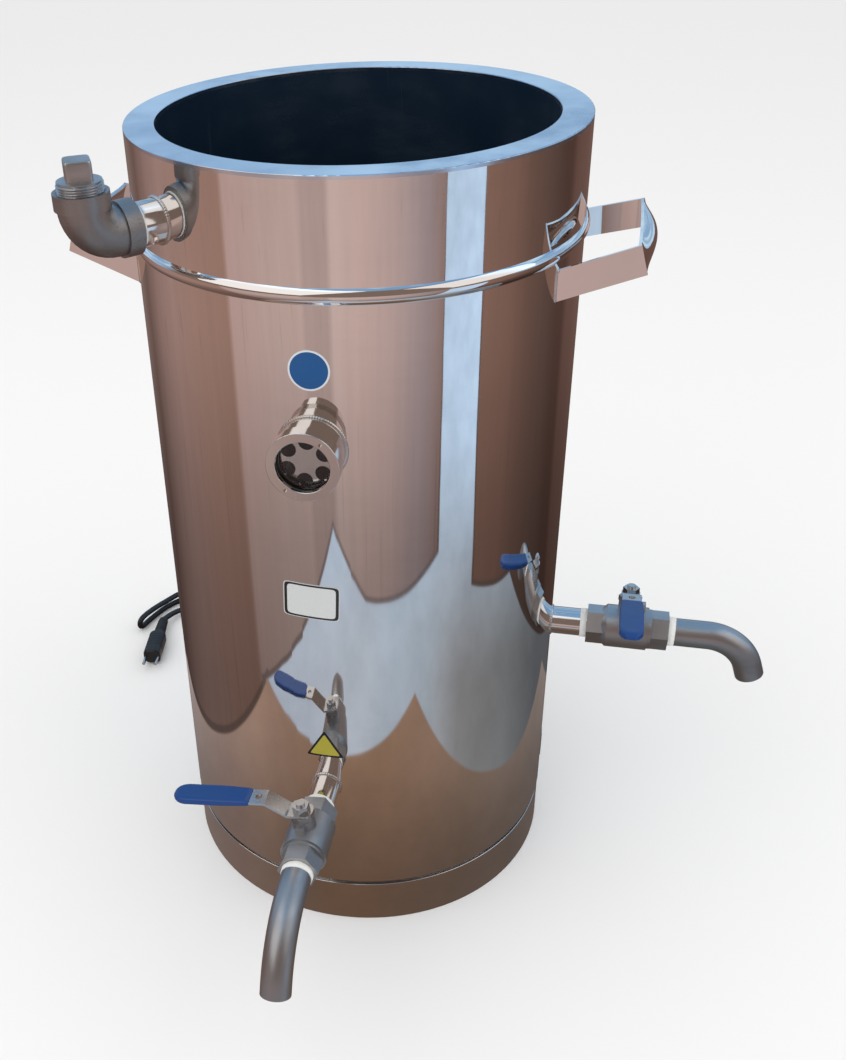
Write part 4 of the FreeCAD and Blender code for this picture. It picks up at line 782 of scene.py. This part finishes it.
rubber = soiled_finish(
    "black_rubber", 0.5, (0.0065, 0.0068, 0.0085), (0.022, 0.022, 0.024), 0.36, 0.60, 1500.0, 0.00004,
    dusty=0.5, ior=1.50)
seal = soiled_finish(
    "grey_seal", 1.0, (0.05, 0.05, 0.052), (0.09, 0.09, 0.09), 0.5, 0.7, 1500.0, 0.00003, ior=1.50)
plastic = soiled_finish(
    "moulded_plastic", 0.4, (0.012, 0.012, 0.013), (0.035, 0.035, 0.036), 0.30, 0.55, 1800.0, 0.00003,
    dusty=0.5, ior=1.46)

lamp = Finish("amber_lamp", transmission_weight=0.35, ior=1.49)
rays = lamp.effect("drawn_grain", along_x=300.0, along_y=20.0, along_z=300.0)
lamp.colour(rays, (0.85, 0.20, 0.02), (0.95, 0.38, 0.05))
lamp.rough(rays, 0.10, 0.28)
lamp.bump(rays, 0.0002)

# %% Glass, brass, heating rods and plug pins
glass = Finish("sight_glass", transmission_weight=1.0, ior=1.50)
film = glass.effect("smears", amount=0.6)
glass.colour(film, (0.90, 0.95, 0.96), (0.80, 0.86, 0.88))
glass.rough(film, 0.0, 0.09)

brass = Finish("turned_brass", metallic=1.0)
stain = brass.effect("smears", amount=0.9)
brass.colour(stain, (0.72, 0.53, 0.24), (0.42, 0.28, 0.12))
brass.rough(stain, 0.20, 0.45)
brass.bump(brass.effect("drawn_grain", along_x=300.0, along_y=12.0, along_z=300.0), 0.00002)

rods = soiled_finish(
    "heating_rods", 1.0, (0.35, 0.30, 0.27), (0.62, 0.60, 0.56), 0.30, 0.65, 900.0, 0.00008, metallic=1.0)

pins = Finish("plated_pins", metallic=1.0)
rub = pins.effect("hairline_scratches", amount=1.0)
pins.colour(rub, (0.70, 0.69, 0.66), (0.50, 0.48, 0.44))
pins.rough(rub, 0.15, 0.38)
pins.bump(rub, 0.00001)


# %% [markdown]
# Printed finishes
#
# A label is a plain field with a border that follows its outline. The sticker's UV map already says how
# far out each point is, so a border is everything past a share of the way. The same map turns the
# angle into the strokes of the thermostat's scale. Nothing is written on any of them.

# %% A helper for labels
def printed(name, field, border, edge, rim=None, rim_edge=1.1):
    """A glossy film: field inside edge, border outside it, and a last rim outside rim_edge."""
    label = Finish(name, coat_weight=0.2, coat_roughness=0.12, ior=1.45)
    across = add(label.tree, "SeparateXYZ", {0: add(label.tree, "TexCoord").outputs["UV"]}).outputs["X"]

    def inked(under, start, ink):
        """Ink over everything past a share of the way to the outline."""
        return blend(label.tree, remap(label.tree, across, start - 0.01, start + 0.01), under, ink)

    soil = label.effect("smears", amount=0.35)
    soiled = label.colour(soil, field, tuple(0.82 * c for c in field))
    last = inked(inked(soiled, edge, border), rim_edge, rim or border)
    label.tree.links.new(last, label.shader.inputs["Base Color"])
    label.rough(soil, 0.22, 0.45)
    label.bump(label.even_grain(200.0), 0.00001)
    return label


DIAL_BLACK = (0.012, 0.012, 0.012)
DIAL_STROKES = 16.0
blue_print = printed("blue_label", (0.005, 0.075, 0.230), (0.60, 0.62, 0.64), 0.91)
white_print = printed(
    "white_label", (0.56, 0.57, 0.57), (0.015, 0.015, 0.015), 0.86, (0.50, 0.50, 0.50), 0.965)
yellow_print = printed("yellow_label", (0.38, 0.33, 0.040), (0.010, 0.010, 0.010), 0.80)
scale_print = printed("scale_label", DIAL_BLACK, DIAL_BLACK, 0.99)
dial_tree = scale_print.tree
around = add(dial_tree, "SeparateXYZ", {0: add(dial_tree, "TexCoord").outputs["UV"]}).outputs
strokes = maths(dial_tree, "PINGPONG", maths(dial_tree, "MULTIPLY", around["Y"], DIAL_STROKES), 0.5)
stroke = remap(dial_tree, strokes, 0.05, 0.02)
outer = remap(dial_tree, around["X"], 0.80, 0.82)
scale_print.colour(maths(dial_tree, "MULTIPLY", stroke, outer), DIAL_BLACK, (0.75, 0.75, 0.74))

# %% Every solid part gets the finish of its slot
FINISH_OF_SLOT = {
    "pot_steel": pot, "ring_steel": ring, "polished_steel": wall, "turned_steel": lathed,
    "satin_pipe": pipe, "cast_steel": cast, "bright_steel": pressed, "blue_sleeve": vinyl,
    "white_seal": tape, "clear_glass": glass, "grey_rubber": seal, "plain_steel": sheet,
    "brass_head": brass, "element_sheath": rods, "black_plastic": plastic, "amber_lamp": lamp,
    "black_rubber": rubber, "pin_metal": pins,
}
for part in frame["record"]["subparts"]:
    mesh = nodes[part["node"]].data
    mesh.materials.clear()
    mesh.materials.append(FINISH_OF_SLOT[part["material_slot"]].material)
nodes["fill_elbow"].data.materials[0] = dark_cast.material
print(len(FINISH_OF_SLOT), "finishes on the solid parts")


# %% [markdown]
# What rides on what
#
# Each new piece is fixed to the body that it moves with, and the solid parts it stands for are hidden.
# The levers turn with their balls, the filling plug lifts out of the elbow, and all else stands still.

# %% Fix every new piece to its body
def fix(piece, finish, body, slot, *replaced):
    """Gives a piece its finish and its body, and hides the solid parts it stands for. The slot is not used.
    """
    piece.data.materials.clear()
    piece.data.materials.append(finish.material)
    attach(piece, body)
    if replaced:
        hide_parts(*replaced)


fix(cord, rubber, "kettle", "black_rubber", "mains_lead", "plug_lead", "lead_coil")
fix(plug, rubber, "kettle", "black_rubber", "plug_body")
fix(gland, plastic, "kettle", "black_plastic", "cable_gland")
for side in OUTLETS:
    fix(sleeves[side], vinyl, side + "_rotor", "blue_sleeve", side + "_grip")
for side, solid in (("drain", "drain_tapes"), ("outlet", "outlet_tapes"), ("fill", "fill_tape")):
    fix(tapes[side], tape, "kettle", "white_seal", solid)
fix(fill_plug, cast, "filling_plug", "cast_steel", "fill_plug")
for weld in welds + [handle_welds]:
    fix(weld, weld_bead, "kettle", "turned_steel")
fix(blue_disc, blue_print, "kettle", "blue_sleeve")
fix(white_label, white_print, "kettle", "white_seal")
fix(yellow_label, yellow_print, "kettle", "white_seal")
fix(dial, scale_print, "kettle", "black_plastic")

# %% [markdown]
# The room
#
# The floor is plain and pale. A mirror-polished wall shows whatever it faces, and seen from above an
# upright wall faces only the floor. The kettle was made to stand on a board in a yard, with boards and
# a pale sheet round it, so the floor carries that picture for mirror rays alone: the floor's own
# material asks what kind of ray has come. Diffuse light and the eye see plain white.

# %% The floor's plane
FLOOR_REACH = 30.0
corners = np.array([(-1, -1, 0), (1, -1, 0), (1, 1, 0), (-1, 1, 0)], float) * (FLOOR_REACH, FLOOR_REACH, 1)
floor_mesh = bpy.data.meshes.new("floor")
floor_mesh.from_pydata(corners.tolist(), [], [(0, 1, 2, 3)])
floor = bpy.data.objects.new("floor", floor_mesh)
bpy.context.scene.collection.objects.link(floor)

# %% Helpers for the picture on the floor
TONE_GAIN, TONE_POWER = 1.12, 2.2
floor_material = bpy.data.materials.new("floor")
floor_material.use_nodes = True
tree = floor_material.node_tree
tree.nodes.clear()
where = add(tree, "TexCoord").outputs["Object"]
drift = add(tree, "TexNoise", {"Vector": where, "Scale": 2.2}).outputs["Color"]
wobble = add(tree, "VectorMath", {0: drift, 1: (0.022, 0.022, 0.0)}, operation="MULTIPLY")
spot = add(tree, "VectorMath", {0: where, 1: wobble.outputs[0]}, operation="ADD").outputs[0]


def beyond(first, second, spread=0.0, blur=0.005):
    """1 to the left of the line from first to second, seen from above, moved to the right by spread."""
    dx, dy = second[0] - first[0], second[1] - first[1]
    long = math.hypot(dx, dy)
    away = (-dy / long, dx / long, 0.0)
    reach = add(tree, "VectorMath", {0: spot, 1: away}, operation="DOT_PRODUCT").outputs["Value"]
    start = first[0] * away[0] + first[1] * away[1] - spread
    return remap(tree, reach, start - blur, start + blur)


def inside(*points, spread=0.0):
    """1 within a convex outline whose corners go round counter-clockwise, grown by spread."""
    mask = beyond(points[-1], points[0], spread)
    for first, second in zip(points, points[1:]):
        mask = maths(tree, "MULTIPLY", mask, beyond(first, second, spread))
    return mask


def tones(value, stops):
    """A colour ramp over the angle, with stops {degrees: (red, green, blue) as a screen shows them}."""
    ramp = add(tree, "ValToRGB", {"Fac": value})
    strip = ramp.color_ramp.elements
    while len(strip) < len(stops):
        strip.new(0.5)
    for element, (degrees, screen) in zip(strip, sorted(stops.items())):
        element.position = (degrees + 180) / 360
        element.color = (*(TONE_GAIN * (c / 255) ** TONE_POWER for c in screen), 1)
    return ramp.outputs["Color"]


def scaled(colour, value):
    """A colour made brighter or darker by a grey value."""
    return add(tree, "VectorMath", {0: colour, "Scale": value}, operation="SCALE").outputs[0]


# %% What the floor shows to the eye and to a mirror
FAN_X, FAN_Y = 0.04, -0.17
part_of = add(tree, "SeparateXYZ", {0: spot}).outputs
side_way = maths(tree, "SUBTRACT", part_of["X"], FAN_X)
front_way = maths(tree, "SUBTRACT", FAN_Y, part_of["Y"])
angle = maths(tree, "ARCTAN2", side_way, front_way)
turn_share = maths(tree, "MULTIPLY_ADD", angle, 1 / (2 * math.pi))
turn_share.node.inputs[2].default_value = 0.5
distance = add(tree, "VectorMath", {0: spot}, operation="LENGTH").outputs["Value"]
rays = add(tree, "CombineXYZ", {"X": maths(tree, "MULTIPLY", turn_share, 90.0),
                                "Y": maths(tree, "MULTIPLY", distance, 0.5)}).outputs[0]
streaks = remap(tree, noise(tree, rays, 1.0, 4.0, 0.6), 0.25, 0.75, 0.965, 1.035)
hairs = remap(tree, noise(tree, scaled(rays, 2.3), 1.0, 1.0), 0.690, 0.705, 1.0, 0.88)
falloff = remap(tree, distance, 0.35, 2.3, 0.50, 1.26)
brown = tones(turn_share, {
    -180: (112, 96, 92), -140: (106, 88, 84), -128: (92, 74, 69), -114: (120, 98, 93), -100: (134, 110, 104),
    -80: (134, 107, 98), -58.2: (130, 103, 93), -56.6: (155, 131, 126), -30: (159, 139, 134),
    -18: (161, 140, 135), -15.5: (152, 132, 128), -4: (149, 130, 126), -1.5: (170, 150, 145),
    12: (167, 145, 140), 26: (160, 139, 135), 40: (141, 126, 126), 47: (131, 117, 118), 60: (116, 91, 81),
    74: (113, 88, 78), 92: (105, 81, 73), 106: (88, 69, 62), 118: (79, 63, 58), 130: (70, 54, 49),
    137: (70, 53, 48), 142: (86, 66, 60), 180: (98, 78, 71)})
brown = scaled(scaled(brown, falloff), maths(tree, "MULTIPLY", streaks, hairs))
near_pale = tones(turn_share, {
    -70: (150, 160, 177), -20: (168, 177, 190), 12: (165, 173, 184), 30: (156, 167, 180), 50: (149, 159, 170),
    62: (140, 144, 150), 74: (121, 121, 123), 92: (113, 114, 116), 106: (106, 108, 110), 120: (93, 95, 98),
    134: (82, 84, 88)})
far_pale = tones(turn_share, {40: (172, 192, 216), 80: (186, 211, 238)})
mottle = remap(tree, noise(tree, spot, 3.5, 6.0, 0.65), 0.25, 0.75, 0.90, 1.10)
pale_tone = scaled(blend(tree, remap(tree, distance, 0.6, 1.7), near_pale, far_pale), mottle)
board_tone = tones(turn_share, {
    -160: (156, 145, 143), -130: (146, 133, 130), -105: (138, 122, 116), -85: (132, 112, 104),
    -62: (128, 106, 94), -52: (118, 97, 86), -25: (116, 93, 78), 25: (116, 93, 78), 60: (112, 92, 80),
    85: (106, 90, 80), 110: (108, 95, 88), 150: (116, 106, 102)})
# Painted shade: the board's tone is scaled down towards the kettle's foot, as a painted contact shadow round
# the base.
board_tone = scaled(scaled(board_tone, remap(tree, distance, 0.235, 0.62, 0.65, 1.42)), mottle)

BOARD = [(-0.416, -0.513), (0.406, -0.538), (0.42, 0.32), (-0.41, 0.33)]
BOARD_RIM, SHEET_RIM = 0.020, 0.018
board, board_edge = inside(*BOARD), inside(*BOARD, spread=BOARD_RIM)
SHEETS = [
    [(-0.42, -0.50), (-0.049, -1.174), (0.22, -0.90), (0.41, -0.50)],
    [(0.15, -0.93), (0.831, -0.685), (0.92, 0.05), (0.32, 0.49)],
    [(0.70, -0.60), (8.10, -5.85), (8.10, -2.34), (0.70, -0.305)],
]
pale, pale_edge = inside(*SHEETS[0]), inside(*SHEETS[0], spread=SHEET_RIM)
for outline in SHEETS[1:]:
    pale = maths(tree, "MAXIMUM", pale, inside(*outline))
    pale_edge = maths(tree, "MAXIMUM", pale_edge, inside(*outline, spread=SHEET_RIM))
covered = maths(tree, "MAXIMUM", pale, board)
# Painted shadow: a dark band just outside the board and the sheets, along their edges.
rim = maths(tree, "SUBTRACT", maths(tree, "MAXIMUM", pale_edge, board_edge), covered)
picture = blend(tree, board, blend(tree, pale, brown, pale_tone), board_tone)
picture = blend(tree, maths(tree, "MULTIPLY", rim, 0.55), picture, (0.045, 0.036, 0.034))
kind = add(tree, "LightPath").outputs
plain_floor = add(tree, "BsdfDiffuse", {"Color": (0.86, 0.86, 0.86, 1)})
mirror_floor = add(tree, "Emission", {"Color": picture, "Strength": 1.0})
choice = add(tree, "MixShader", {0: kind["Is Glossy Ray"], 1: plain_floor.outputs[0],
                                 2: mirror_floor.outputs[0]})
surface = tree.nodes.new("ShaderNodeOutputMaterial")
tree.links.new(choice.outputs[0], surface.inputs["Surface"])
floor_mesh.materials.append(floor_material)

# %% [markdown]
# Light
#
# The sky is soft and even: white for the floor and, for mirror rays, pale blue with a few clouds, which
# the flat ring on top shows. Low in front of the kettle mirror rays meet a brown wall instead. One broad
# soft lamp from the front left gives the round pieces their bright line, and a weaker one fills from the
# right.

# %% Sky and lamps
world = bpy.data.worlds.new("sky")
bpy.context.scene.world = world
world.use_nodes = True
sky = world.node_tree
sky.nodes.clear()
way = add(sky, "TexCoord").outputs["Generated"]
parts = add(sky, "SeparateXYZ", {0: way}).outputs
cloud = remap(sky, noise(sky, stretched(sky, way, (1.0, 1.0, 3.0)), 3.4, 5.0, 0.6), 0.42, 0.70)
blue = blend(sky, remap(sky, parts["Z"], -0.05, 0.75), (0.30, 0.44, 0.64), (0.19, 0.37, 0.62))
clouded = blend(sky, cloud, blue, (0.56, 0.76, 0.94))
yard_wall = maths(sky, "MULTIPLY", remap(sky, parts["Y"], 0.20, -0.10), remap(sky, parts["Z"], 0.96, 0.80))
built = blend(sky, yard_wall, clouded, (0.20, 0.145, 0.120))
mirror_sky = add(sky, "Background", {"Color": built, "Strength": 1.0})
plain_sky = add(sky, "Background", {"Color": (1.0, 1.0, 1.0, 1), "Strength": 0.95})
sky_choice = add(sky, "MixShader", {0: add(sky, "LightPath").outputs["Is Glossy Ray"],
                                    1: plain_sky.outputs[0], 2: mirror_sky.outputs[0]})
sky_out = sky.nodes.new("ShaderNodeOutputWorld")
sky.links.new(sky_choice.outputs[0], sky_out.inputs["Surface"])


def soft_lamp(name, place, aim, size, power):
    """A square area lamp that looks at a point."""
    light = bpy.data.lights.new(name, "AREA")
    light.size, light.energy = size, power
    lamp_object = bpy.data.objects.new(name, light)
    lamp_object.rotation_euler = (Vector(aim) - Vector(place)).to_track_quat("-Z", "Y").to_euler()
    lamp_object.location = place
    bpy.context.scene.collection.objects.link(lamp_object)


MIDDLE = (0, 0, 0.5)
soft_lamp("front_left_lamp", (-2.0, -2.2, 3.4), MIDDLE, 4.6, 52)
soft_lamp("right_fill_lamp", (2.8, -0.6, 2.6), MIDDLE, 3.2, 22)
bpy.context.scene.view_settings.view_transform = "Standard"
print("lit")
